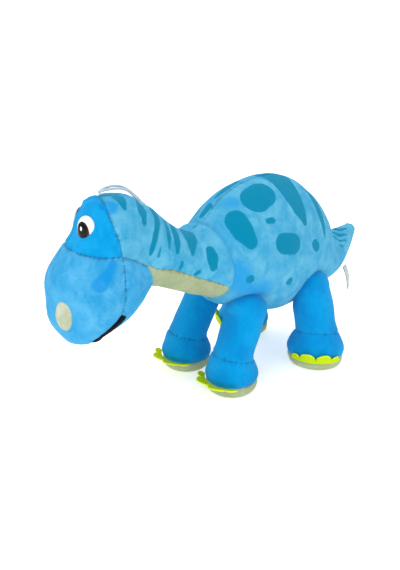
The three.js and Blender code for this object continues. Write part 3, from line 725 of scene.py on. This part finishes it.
NECK_MARKS = [
    [(9, -82, 174, 10), (18, -86, 168, 9), (23, -89, 162, 6), (28, -91, 156, 2.4)],
    [(31, -70, 156, 5), (33, -70, 149, 6.6), (34, -70, 141, 5.2)],
    [(3, -136, 208, 3), (9, -137, 203, 5.4), (15, -139, 199, 5.9), (20, -141, 193, 4.4),
     (22, -142, 188, 2)],
    [(4, -121, 200, 4), (13, -124, 197, 5), (20, -127, 190, 4.6), (25, -132, 181, 3.8),
     (27, -136, 170, 2.8), (25, -137, 165, 1.4)],
    [(10, -112, 191, 1.8), (20, -114, 184, 2.4), (24, -116, 176, 3), (27, -118, 167, 1.6)],
    [(6, -100, 186, 3.4), (19, -105, 178, 4.6), (25, -107, 170, 4.3), (28, -109, 162, 2.2)],
    [(26, -127, 169.5, 1.9), (26, -129, 162.5, 1.9)],
    [(29, -104, 152, 1.9), (30, -106, 145, 2)],
    [(32, -85, 139, 2.2), (31, -89, 136.5, 2.2)],
]
NECK_BRUSHED = [[(14, -44, 168, 9), (26, -42, 160, 9), (36, -46, 146, 7)]]
TAIL_MARKS = [
    [(0, 178, 126, 2.6), (4, 177, 124, 2.8), (6, 190, 125, 1.4)],
    [(4, 166, 124, 2), (11, 167, 121, 2.4), (12, 183, 119, 1.1)],
    [(10, 158, 121, 1.6), (16, 162, 116, 1.8), (16, 177, 114, 1.1)],
    [(18, 155, 114, 1.2), (20, 162, 110, 1.6), (19, 170, 109, 0.9)],
]
print(len(TORSO_MARKS + TORSO_TOP_MARKS + NECK_MARKS + TAIL_MARKS), "printed marks")


# %% [markdown]
# ## From a form to panels
# Each panel becomes its own object: the faces that carry its label, thickened inwards to the
# thickness of the cloth, so that it is a closed piece as real cloth is.

# %% Making panels
CLOTH = 1.4  # thickness of the knitted back and its pile


def thickened(points, normals, faces, depth):
    """The faces with a second layer below them and a wall round their border."""
    edges = {}
    for face in faces:
        for a, b in zip(face, face[1:] + face[:1]):
            edges[(a, b)] = edges.get((a, b), 0) + 1
    border = [(a, b) for a, b in edges if (b, a) not in edges]
    count = len(points)
    lower = [tuple(i + count for i in face[::-1]) for face in faces]
    walls = [(b, a, a + count, b + count) for a, b in border]
    return np.vstack([points, points - normals * depth]), faces + lower + walls


def make_object(name, points, faces, material, numbers=None):
    """An object from points in millimetres, with numbers on its points for the shader."""
    mesh = bpy.data.meshes.new(name)
    mesh.from_pydata((points * MM).tolist(), [], [list(face) for face in faces])
    for key, values in (numbers or {}).items():
        layer = mesh.attributes.new(key, "FLOAT", "POINT")
        layer.data.foreach_set("value", np.asarray(values, np.float32))
    mesh.polygons.foreach_set("use_smooth", [True] * len(mesh.polygons))
    mesh.materials.append(material)
    mesh.update()
    made = bpy.data.objects.new(name, mesh)
    scene.collection.objects.link(made)
    return made


def make_panel(name, form, labels, label, material, numbers):
    """The form's faces that carry the label, as one closed piece of cloth."""
    faces = [face for face, found in zip(form.faces, labels) if found == label]
    used = np.unique([i for face in faces for i in face])
    new_index = {old: new for new, old in enumerate(used)}
    faces = [tuple(new_index[i] for i in face) for face in faces]
    normals = form.normals()[used]
    points, faces = thickened(form.points[used], normals, faces, CLOTH)
    twice = {key: np.tile(values[used], 2) for key, values in numbers.items()}
    return make_object(name, points, faces, material, twice)


# %% [markdown]
# ## The torso
# Two mirrored panels meet along the back and the belly. The filling is tight here, so the seam
# lies in only a shallow valley, and the lumps of fibre show more than the puckers do. The torso
# also carries the neck's marks and the neck the torso's, so that a mark can run across both.

# %% Torso panels
def left_and_right(form):
    """A label for each face by the side that it is on."""
    return np.where(face_centres(form)[:, 0] > 0, "left", "right")


torso_rest = torso_form.points.copy()
torso_labels = left_and_right(torso_form)
torso_seam = sew(torso_form, torso_labels, depth=0.6, valley=1.5, swell=0.8, puckers=0.3, lumps=1.1)
torso_numbers = {
    **torso_seam,
    "print_distance": np.minimum(mark_distance(torso_rest, TORSO_MARKS + NECK_MARKS),
                                 mark_distance(torso_rest, TORSO_TOP_MARKS, mirrored=False)),
    "brushed": soft_patch(torso_rest, TORSO_BRUSHED, edge=26),
}
for side in ("left", "right"):
    panel = make_panel(f"torso_{side}_plush", torso_form, torso_labels, side, printed_plush,
                       torso_numbers)
    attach(panel, "torso")
    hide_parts(f"torso_panel_{side}", *(["torso_stuffing"] if side == "left" else []))
print("torso", len(torso_form.points), "points")

# %% [markdown]
# ## The neck
# Two printed panels over a cream throat.

# %% Neck panels
# the throat's upper edge in the side view, from the chest to the chin
THROAT_LINE = [(torso_front + 68, shoulder[2] - 45), (shoulder[1] - 10, shoulder[2] - 22),
               (shoulder[1] - 30, shoulder[2] - 12), (shoulder[1] - 50, shoulder[2] - 3),
               (nape[1] + 22, nape[2] - 33), (nape[1] + 4, nape[2] - 29),
               (nape[1] - 60, nape[2] + 20)]
throat_outline = THROAT_LINE + [(THROAT_LINE[-1][0], 0), (THROAT_LINE[0][0], 0)]
cut_along(neck_form, lambda points: outline_distance(points, throat_outline))
neck_centres = face_centres(neck_form)
neck_labels = np.where(outline_distance(neck_centres, throat_outline) > 0, "throat",
                       left_and_right(neck_form))
neck_rest = neck_form.points.copy()
neck_seam = sew(neck_form, neck_labels, depth=0.9, valley=1.6, swell=0.5, puckers=0.5, lumps=0.7)
neck_numbers = {
    **neck_seam,
    "print_distance": mark_distance(neck_rest, NECK_MARKS + TORSO_MARKS),
    "brushed": soft_patch(neck_rest, NECK_BRUSHED, edge=20),
}
for label, name, material, slot, nodes in [
    ("left", "neck_left_plush", printed_plush, "printed_plush",
     ["neck_panel_left", "neck_stuffing"]),
    ("right", "neck_right_plush", printed_plush, "printed_plush", ["neck_panel_right"]),
    # the throat panel wears the darker cream, which is painted shade under the neck
    ("throat", "throat_plush_painted_shade", throat_plush_painted_shade, "cream_plush", ["throat_panel"]),
]:
    panel = make_panel(name, neck_form, neck_labels, label, material, neck_numbers)
    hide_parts(*nodes)
    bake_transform(panel)
print("neck panels", dict(zip(*np.unique(neck_labels, return_counts=True))))

# %% [markdown]
# ## The head
# Eight pieces. Each side has an azure patch round the eye, half of the long muzzle and half of
# the printed crown; one jaw and a strip of black felt for the mouth join the sides below. The
# seams of each side meet at one point on the cheek. Their lines are drawn on the side of the
# head, in shares of its size.

# %% Head panels
def head_point(ahead, up):
    """A place in the side view, ahead of the nape and above it."""
    return (nape[1] - ahead * HEAD_DEPTH, nape[2] + up * HEAD_HEIGHT)


MOUTH_WIDTH = 8
crown_line = [head_point(*p) for p in [(0.36, 0.60), (0.33, 0.30), (0.28, 0.14), (0.235, 0.03)]]
cheek = head_point(0.22, -0.07)
bridge_line = [head_point(*p) for p in [(0.40, -0.065), (0.56, -0.045), (0.72, -0.02), (1.6, 0.06)]]
jaw_line = [head_point(*p) for p in [(0.08, -0.12), (-0.06, -0.20), (-1.2, -0.50)]]
mouth_corner, chin_out = head_point(0.25, -0.49), head_point(0.74, -0.88)
muzzle_rear = [head_point(*p) for p in [(0.205, -0.20), (0.21, -0.36)]]
lip = np.subtract(chin_out, mouth_corner)
lip_step = np.array([-lip[1], lip[0]]) / np.linalg.norm(lip) * MOUTH_WIDTH
corner_low, chin_low = np.add(mouth_corner, lip_step), np.add(chin_out, lip_step)
head_outlines = {
    "eye_patch": crown_line + [cheek] + bridge_line + [head_point(1.6, 0.6)],
    "muzzle": [cheek] + bridge_line + [head_point(1.6, -0.88), chin_out, mouth_corner]
    + muzzle_rear[::-1],
    "crown": crown_line + [cheek] + jaw_line + [head_point(-1.2, 0.6)],
    "mouth": [mouth_corner, chin_out, tuple(chin_low), tuple(corner_low)],
}
for outline in head_outlines.values():
    cut_along(head_form, lambda points: outline_distance(points, outline))
head_centres = face_centres(head_form)
head_labels = np.full(len(head_form.faces), "jaw", dtype="<U20")
for region in ("eye_patch", "muzzle", "crown", "mouth"):
    within = outline_distance(head_centres, head_outlines[region]) > 0
    head_labels[within] = region
halves = left_and_right(head_form)
for region in ("eye_patch", "muzzle", "crown"):
    chosen = head_labels == region
    head_labels[chosen] = np.char.add(f"{region}_", halves[chosen])
print("head faces", {name: int((head_labels == name).sum()) for name in np.unique(head_labels)})

# %% [markdown]
# The muzzle is the fullest part, so it swells a little more about its middle. The head is sewn
# straight, and turned a little as it stands. Its marks and patches are given on the turned head.

# %% Sewing the head
HEAD_BRUSHED = [
    [(22, -175, 163, 4.5), (20.6, -181, 153, 7), (19, -187, 147, 6)],
    [(9, -164, 209, 6), (6, -168, 212, 6)],
]
HEAD_MARKS = [
    [(0, -152, 214.5, 5), (6, -153, 213, 5), (11, -154, 210, 3.4), (14, -154, 206, 1.6)],
    [(23, -161, 184, 1.6)],
]
MUZZLE_FULLNESS, MUZZLE_REACH = 0.8, [40, 34, 34]
head_rest = turned_about(head_form.points, nape, HEAD_TURN)
muzzle_middle = [0, nape[1] - 0.7 * HEAD_DEPTH, nape[2] - 0.5 * HEAD_HEIGHT]
from_middle = np.linalg.norm((head_form.points - muzzle_middle) / MUZZLE_REACH, axis=1)
fullness = MUZZLE_FULLNESS * np.exp(-from_middle ** 2)
head_seam = sew(head_form, head_labels, depth=1.2, valley=1.4, swell=0.7, puckers=0.8, lumps=0.6,
                extra=fullness)
head_form.points = turned_about(head_form.points, nape, HEAD_TURN)
head_numbers = {
    **head_seam,
    "print_distance": mark_distance(head_rest, NECK_MARKS + HEAD_MARKS, mirrored=False),
    "brushed": soft_patch(head_rest, HEAD_BRUSHED, edge=6, mirrored=False),
    "cut_edge": np.exp(-head_seam["seam_distance"] / 0.8),
}
HEAD_PIECES = [
    ("jaw", "jaw_plush", face_plush, "face_plush", "jaw_panel"),
    ("mouth", "mouth_strip", black_felt, "black_felt", "mouth_felt")]
for side in ("left", "right"):
    HEAD_PIECES += [
        (f"eye_patch_{side}", f"eye_patch_{side}_plush", azure_plush, "azure_plush",
         f"eye_patch_{side}"),
        (f"muzzle_{side}", f"muzzle_{side}_plush", face_plush, "face_plush",
         f"muzzle_panel_{side}"),
        (f"crown_{side}", f"crown_{side}_plush", printed_plush, "printed_plush",
         f"crown_panel_{side}")]
for label, name, material, slot, node in HEAD_PIECES:
    panel = make_panel(name, head_form, head_labels, label, material, head_numbers)
    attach(panel, "head")
    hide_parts(node, *(["head_stuffing"] if label == "jaw" else []))
print("head has", len(HEAD_PIECES), "pieces and is turned", HEAD_TURN, "degrees")

# %% [markdown]
# ## The legs
# Each leg is a tube with a seam round the ankle, which tilts up towards the toes, and another
# above the cream sole. The sleeve is sewn to the torso.

# %% Leg panels
for leg in legs:
    ahead = leg.facing * math.tan(math.radians(ANKLE_TILT))
    ankle_height = lambda points: points[:, 2] - ANKLE - (points - leg.foot) @ ahead
    sole_height = lambda points: points[:, 2] - SOLE_SEAM
    cut_along(leg.form, ankle_height)
    cut_along(leg.form, sole_height)
    centres = face_centres(leg.form)
    labels = np.where(ankle_height(centres) > 0, "sleeve",
                      np.where(sole_height(centres) > 0, "cuff", "sole"))
    flat = np.clip(leg.form.points[:, 2] / 3, 0, 1)
    seam = sew(leg.form, labels, depth=0.9, valley=1.6, swell=0.3, puckers=0.5, lumps=0.9)
    leg.form.points[:, 2] = np.where(flat < 1, np.maximum(leg.form.points[:, 2], 0)
                                     * np.where(flat <= 0, 0, 1), leg.form.points[:, 2])
    numbers = {**seam, "brushed": 0.5 + 0.5 * wave(leg.form.points, 26, 7.7)}
    for label, material, slot, nodes in [
        ("sleeve", azure_plush, "azure_plush", ["leg_sleeve", "leg_stuffing"]),
        ("cuff", azure_plush, "azure_plush", ["foot_cuff"]),
        ("sole", cream_plush, "cream_plush", ["sole"]),
    ]:
        panel = make_panel(f"{leg.name}_{label}_plush", leg.form, labels, label, material, numbers)
        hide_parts(*[f"{leg.name}_{node}" for node in nodes])
        if label == "sleeve":
            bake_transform(panel)
        else:
            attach(panel, leg.body)
    print(leg.name, "leg", len(leg.form.points), "points")

# %% [markdown]
# ## The tail
# Two small printed panels.

# %% Tail panels
tail_rest = tail_form.points.copy()
tail_labels = left_and_right(tail_form)
tail_seam = sew(tail_form, tail_labels, depth=0.7, swell=0.4, puckers=0.4, lumps=0.6)
tail_numbers = {**tail_seam, "print_distance": mark_distance(tail_rest, TAIL_MARKS),
                "brushed": np.zeros(len(tail_rest))}
for side in ("left", "right"):
    panel = make_panel(f"tail_{side}_plush", tail_form, tail_labels, side, printed_plush,
                       tail_numbers)
    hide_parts(f"tail_panel_{side}", *(["tail_stuffing"] if side == "left" else []))
    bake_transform(panel)
print("tail", len(tail_form.points), "points")

# %% [markdown]
# ## The eyes
# A moulded oval dome with the iris and the pupil printed on it, and a small white shell on the
# pupil that is a painted highlight. Each layer is a thin shell that follows the dome, so it keeps
# its own clean edge and its own gloss.

# %% Eyes
EYE_HALF_WIDTH, EYE_HALF_HEIGHT, EYE_DOME, EYE_SINK = 9.2, 13.2, 4.0, 2.6
EYE_SPOT = (0.31, 0.095, 46)  # ahead, up, and degrees outwards
IRIS_HALVES, PUPIL_HALVES, GLINT_HALVES = (6.6, 9.8), (5.5, 8.0), (1.3, 2.3)
GAZE_FORWARD, IRIS_DROP, GLINT_BACK, GLINT_RISE = 1.7, -0.9, 0.9, 2.8
sewn_head = head_form.tree()


def on_head(side, ahead, up, outwards):
    """Origin, right, up and out of a place on the head's cloth, seen from inside the head."""
    y, z = head_point(ahead, up)
    inside = turned_about(np.array([0, y, z]), nape, HEAD_TURN)
    turn = math.radians(side * outwards + HEAD_TURN)
    out = np.array([math.sin(turn), -math.cos(turn), 0])
    found = sewn_head.ray_cast(Vector(inside + out * 90), Vector(-out))[0]
    right = np.cross([0, 0, 1], out)
    return np.array(found), right / np.linalg.norm(right), np.cross(out, right), out


def dome_shell(name, place, centre, halves, height_at, lift, material, rings=14, sides=56,
               under=0.8):
    """A thin closed shell over a surface, round or oval, with a rounded rim."""
    origin, right, up, out = place
    shares = np.sin(np.linspace(0, math.pi / 2, rings + 1))[1:]
    turns = np.arange(sides) / sides * 2 * math.pi
    x = centre[0] + halves[0] * np.outer(shares, np.cos(turns)).ravel()
    y = centre[1] + halves[1] * np.outer(shares, np.sin(turns)).ravel()
    crown = np.sqrt(np.clip(1 - np.repeat(shares, sides) ** 4, 0, 1))
    flat = np.array([[centre[0], centre[1]], *np.stack([x, y], 1)])
    base = height_at(flat[:, 0], flat[:, 1])
    top = base + np.concatenate([[1], crown]) * lift
    bottom = base - under
    sheet = []
    for heights in (top, bottom):
        sheet.append(origin + np.outer(flat[:, 0], right) + np.outer(flat[:, 1], up)
                     + np.outer(heights, out))
    count = len(flat)
    faces = []
    for j in range(sides):
        n = (j + 1) % sides
        faces.append((0, 1 + j, 1 + n))
        faces.append((count, count + 1 + n, count + 1 + j))
        for i in range(rings - 1):
            a, b = 1 + i * sides, 1 + (i + 1) * sides
            faces.append((a + j, b + j, b + n, a + n))
            faces.append((count + a + n, count + b + n, count + b + j, count + a + j))
        last = 1 + (rings - 1) * sides
        faces.append((last + j, count + last + j, count + last + n, last + n))
    down = np.clip(0.5 - (np.tile(flat[:, 1], 2) - centre[1]) / (2 * halves[1]), 0, 1) ** 2
    edge = np.tile(np.concatenate([[0], np.repeat(shares, sides)]) ** 6, 2)
    return make_object(name, np.vstack(sheet), faces, material, {"down": down, "cut_edge": edge})


def plain_dome(x, y):
    """How far the eye's dome stands out of the cloth."""
    inside = 1 - (x / EYE_HALF_WIDTH) ** 2 - (y / EYE_HALF_HEIGHT) ** 2
    return EYE_DOME * np.sqrt(np.clip(inside, 0, 1)) - EYE_SINK


for side_name, side in (("left", 1), ("right", -1)):
    place = on_head(side, *EYE_SPOT)
    shift = -side * GAZE_FORWARD
    white = dome_shell(f"eye_{side_name}_dome", place, (0, 0), (EYE_HALF_WIDTH, EYE_HALF_HEIGHT),
                       plain_dome, 0.0, eye_white, rings=20, under=2.0)
    iris = dome_shell(f"iris_{side_name}_ring", place, (shift, IRIS_DROP), IRIS_HALVES,
                      plain_dome, 0.35, iris_brown, under=0.2)
    pupil = dome_shell(f"pupil_{side_name}", place, (shift, 0.0), PUPIL_HALVES, plain_dome,
                       0.55, pupil_black, under=0.1)
    # the glint is a painted highlight: a small white shell over the pupil
    glint = dome_shell(f"eye_{side_name}_highlight", place, (shift - GLINT_BACK, GLINT_RISE),
                       GLINT_HALVES, plain_dome, 0.75, eye_white, rings=6, sides=28, under=0.05)
    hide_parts(f"eye_{side_name}", f"eye_washer_{side_name}")
    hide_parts(f"iris_{side_name}")
    for piece, slot in ((white, "eye_white"), (iris, "eye_brown"), (pupil, "eye_brown"),
                        (glint, "eye_white")):
        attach(piece, "head")
    print(side_name, "eye at", place[0].round(1).tolist())

# %% [markdown]
# ## The nostrils
# An oval of longer cream pile, sewn flat on the muzzle, so it follows the muzzle's own surface.

# %% Nostrils
NOSTRIL_SPOT, NOSTRIL_HALVES, NOSTRIL_PILE = (0.47, -0.47, 42), (8.5, 13.5), 1.7
for side_name, side in (("left", 1), ("right", -1)):
    place = on_head(side, *NOSTRIL_SPOT)
    origin, right, up, out = place

    def on_muzzle(xs, ys):
        """How far the muzzle's cloth stands out at each place of the patch."""
        heights = []
        for x, y in zip(xs, ys):
            start = origin + x * right + y * up + out * 20
            hit = sewn_head.ray_cast(Vector(start), Vector(-out))[0]
            heights.append((np.array(hit) - origin) @ out if hit else 0.0)
        return np.array(heights)

    patch = dome_shell(f"nostril_{side_name}_pile", place, (0, 0), NOSTRIL_HALVES, on_muzzle,
                       NOSTRIL_PILE, nostril_pile, rings=16, under=0.8)
    co = np.array([v.co for v in patch.data.vertices]) / MM
    fuzz = 0.35 * wave(co, 1.6, 3.3) + 0.25 * wave(co, 3.7, 5.9)
    for vertex, rise in zip(patch.data.vertices, fuzz):
        vertex.co += Vector(out) * float(rise) * MM
    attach(patch, "head")
    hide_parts(f"nostril_{side_name}")
    print(side_name, "nostril at", origin.round(1).tolist())

# %% [markdown]
# ## The toes
# One strip of felt with four rounded lobes, two small and two large. It is caught in the sole's
# seam, bends round the foot and stands off it. Felt is cut, so its edge is square and paler.

# %% Toes
# a flare of 0 degrees points straight out from the foot, and 90 stands up against it
TOE_HALF_WIDTHS, TOE_HEIGHTS = (5, 8, 8, 5), (6, 10, 10, 6)
TOE_BASE, TOE_THICKNESS, TOE_FLARE = 2, 1.5, {"front": 20, "rear": 72}
LOBE_STEPS, TOE_ROWS = 14, 6


def toe_outline():
    """The strip's cut edge: a place along it and a height, lobe by lobe."""
    outline, start = [], -sum(TOE_HALF_WIDTHS)
    for index, (half_width, height) in enumerate(zip(TOE_HALF_WIDTHS, TOE_HEIGHTS)):
        for k in range(1 if index else 0, LOBE_STEPS + 1):
            turn = k / LOBE_STEPS * math.pi
            outline.append((start + half_width * (1 - math.cos(turn)),
                            height * max(math.sin(turn) ** 0.8, 0.16)))
        start += 2 * half_width
    return outline


for leg in legs:
    flare = math.radians(TOE_FLARE[leg.end])
    broad = FOOT_RADIUS[leg.end]
    root = 1.03 * broad + 0.8 + TOE_BASE * math.cos(flare)
    facing = math.atan2(leg.facing[1], leg.facing[0])
    columns = toe_outline()
    points, edge_share = [], []
    for along, height in columns:
        for layer in (0, 1):
            for k in range(TOE_ROWS + 1):
                up = -TOE_BASE + (height + TOE_BASE) * k / TOE_ROWS
                curl = 0.9 * math.sin(math.pi * k / TOE_ROWS) + 0.06 * up * math.sin(along / 2.3)
                out = layer * TOE_THICKNESS + curl * 0.6
                radius = root + up * math.cos(flare) + out * math.sin(flare)
                angle = facing + along / broad
                points.append((leg.foot[0] + radius * math.cos(angle),
                               leg.foot[1] + radius * math.sin(angle),
                               SOLE_SEAM + TOE_BASE + up * math.sin(flare)
                               - out * math.cos(flare)))
                edge_share.append(1.0 if k == TOE_ROWS else 0.0)
    rows = TOE_ROWS + 1
    faces = []
    for i in range(len(columns) - 1):
        a, b = 2 * rows * i, 2 * rows * (i + 1)
        for k in range(TOE_ROWS):
            faces.append((a + k, a + k + 1, b + k + 1, b + k))
            faces.append((a + rows + k, b + rows + k, b + rows + k + 1, a + rows + k + 1))
        faces.append((a, b, b + rows, a + rows))
        top = TOE_ROWS
        faces.append((a + top, a + rows + top, b + rows + top, b + top))
    for a, flip in ((0, 1), (2 * rows * (len(columns) - 1), -1)):
        for k in range(TOE_ROWS):
            faces.append((a + k, a + rows + k, a + rows + k + 1, a + k + 1)[::flip])
    toes = make_object(f"{leg.name}_toe_felt", np.array(points), faces, lime_felt,
                       {"cut_edge": edge_share})
    bevel = toes.modifiers.new("soft edge", "BEVEL")
    bevel.width, bevel.segments, bevel.limit_method = 0.35 * MM, 2, "ANGLE"
    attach(toes, leg.body)
    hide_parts(f"{leg.name}_toes")
print("toe strips", 2 * sum(TOE_HALF_WIDTHS), "mm long")

# %% [markdown]
# ## The sewn-in label
# A strip of satin ribbon, folded in half and caught in the tail's seam. It is left blank.

# %% Label
LABEL_LENGTH, LABEL_WIDTH, LABEL_THICKNESS = 30, 12, 0.3
LABEL_TURN, LABEL_TILT = math.radians(20), math.radians(15)
label_top = tail_root + [0.80 * TAIL_RADIUS, 0.55 * TAIL_REACH, -0.58 * TAIL_RADIUS + 1]
across = np.array([-math.sin(LABEL_TURN), math.cos(LABEL_TURN), 0])
outwards = np.array([math.cos(LABEL_TURN), math.sin(LABEL_TURN), 0])
square = outwards * math.cos(LABEL_TILT) + [0, 0, math.sin(LABEL_TILT)]
upwards = -outwards * math.sin(LABEL_TILT) + [0, 0, math.cos(LABEL_TILT)]
FOLD_RADIUS, SIDE_STEPS, FOLD_STEPS, WIDTH_STEPS = 0.55, 24, 10, 10
LABEL_BOW, LABEL_CURL = 1.6, 0.35
ribbon = []
for k in range(SIDE_STEPS):
    ribbon.append((-FOLD_RADIUS, -(LABEL_LENGTH - FOLD_RADIUS) * k / SIDE_STEPS))
for k in range(FOLD_STEPS + 1):
    turn = math.pi * (1 + k / FOLD_STEPS)
    ribbon.append((FOLD_RADIUS * math.cos(turn),
                   -(LABEL_LENGTH - FOLD_RADIUS) + FOLD_RADIUS * math.sin(turn)))
for k in range(1, SIDE_STEPS + 1):
    ribbon.append((FOLD_RADIUS, -(LABEL_LENGTH - FOLD_RADIUS) * (1 - k / SIDE_STEPS)))
ribbon = np.array(ribbon)
bow = LABEL_BOW * np.sin(np.clip(-ribbon[:, 1] / LABEL_LENGTH, 0, 1) * math.pi)
points = []
for (off, down), lean in zip(ribbon, bow):
    for k in range(WIDTH_STEPS + 1):
        v = (k / WIDTH_STEPS - 0.5) * LABEL_WIDTH
        curl = LABEL_CURL * math.sin(v / LABEL_WIDTH * 5 + down * 0.12)
        points.append(label_top + square * (off + lean + curl) + across * v + upwards * down)
wide = WIDTH_STEPS + 1
faces = [(i * wide + k, i * wide + k + 1, (i + 1) * wide + k + 1, (i + 1) * wide + k)
         for i in range(len(ribbon) - 1) for k in range(WIDTH_STEPS)]
label_form = Form(points, faces)
points, faces = thickened(label_form.points, label_form.normals(), faces, LABEL_THICKNESS)
label = make_object("folded_label_ribbon", points, faces, label_satin)
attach(label, "tail")
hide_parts("care_label")

# %% [markdown]
# ## The floor
# A plain pale floor that curves up behind like a roll of studio paper. It glows a little, so that
# it stays pale where the toy's shadow falls.

# %% Floor
FLOOR_GLOW = 0.42
floor_material, floor_tree, floor_shader = new_material(
    "pale_floor", 0.9, Emission_Color=[1, 1, 1, 1], Emission_Strength=FLOOR_GLOW)
paper = grain(floor_tree, 30, 2)
floor_tint = mix(floor_tree, paper, colour("#f7f7f6"), colour("#fbfbfa"))
floor_tree.links.new(floor_tint, floor_shader.inputs["Base Color"])
FLOOR_HALF, WALL_HEIGHT, BEND, FLOOR_DROP = 2600, 2600, 600, 0.2
profile = [(-FLOOR_HALF, 0)] + [
    (FLOOR_HALF - BEND + BEND * math.sin(t), BEND - BEND * math.cos(t))
    for t in np.linspace(0, math.pi / 2, 12)] + [(FLOOR_HALF, WALL_HEIGHT)]
away = np.array([-back.x, -back.y, 0])
away /= np.linalg.norm(away)
sideways = np.array([-away[1], away[0], 0])
points = [away * run + sideways * s * 1.6 * FLOOR_HALF + [0, 0, rise - FLOOR_DROP]
          for run, rise in profile for s in (-1, 1)]
faces = [(2 * i, 2 * i + 1, 2 * i + 3, 2 * i + 2)[::-1] for i in range(len(profile) - 1)]
floor = make_object("floor", np.array(points), faces, floor_material)
print("floor is", 2 * FLOOR_HALF / 1000, "m deep")

# %% [markdown]
# ## The light
# The strongest of three large soft lights stands before the toy, on the camera's left. A weaker
# one on the right and one above and behind keep the shadows pale, and so does an even surround.

# %% Lights
SURROUND = 0.58  # strength of the even light from all round


def soft_light(name, place, watts, size):
    """A square light that faces the toy, with its place and size in metres."""
    data = bpy.data.lights.new(name, "AREA")
    data.energy, data.size = watts, size
    made = bpy.data.objects.new(name, data)
    made.location = place
    made.rotation_euler = (Vector(place) - CAMERA_TARGET).to_track_quat("Z", "Y").to_euler()
    scene.collection.objects.link(made)


soft_light("key", (0.1, -1.3, 1.3), 13, 1.2)
soft_light("fill", (1.5, -0.3, 0.7), 6, 1.2)
soft_light("top", (-0.2, 0.4, 1.6), 10, 1.4)
world = bpy.data.worlds.new("pale_surround")
world.use_nodes = True
world.node_tree.nodes["Background"].inputs["Color"].default_value = (1, 1, 1, 1)
world.node_tree.nodes["Background"].inputs["Strength"].default_value = SURROUND
scene.world = world
scene.view_settings.view_transform = "Standard"
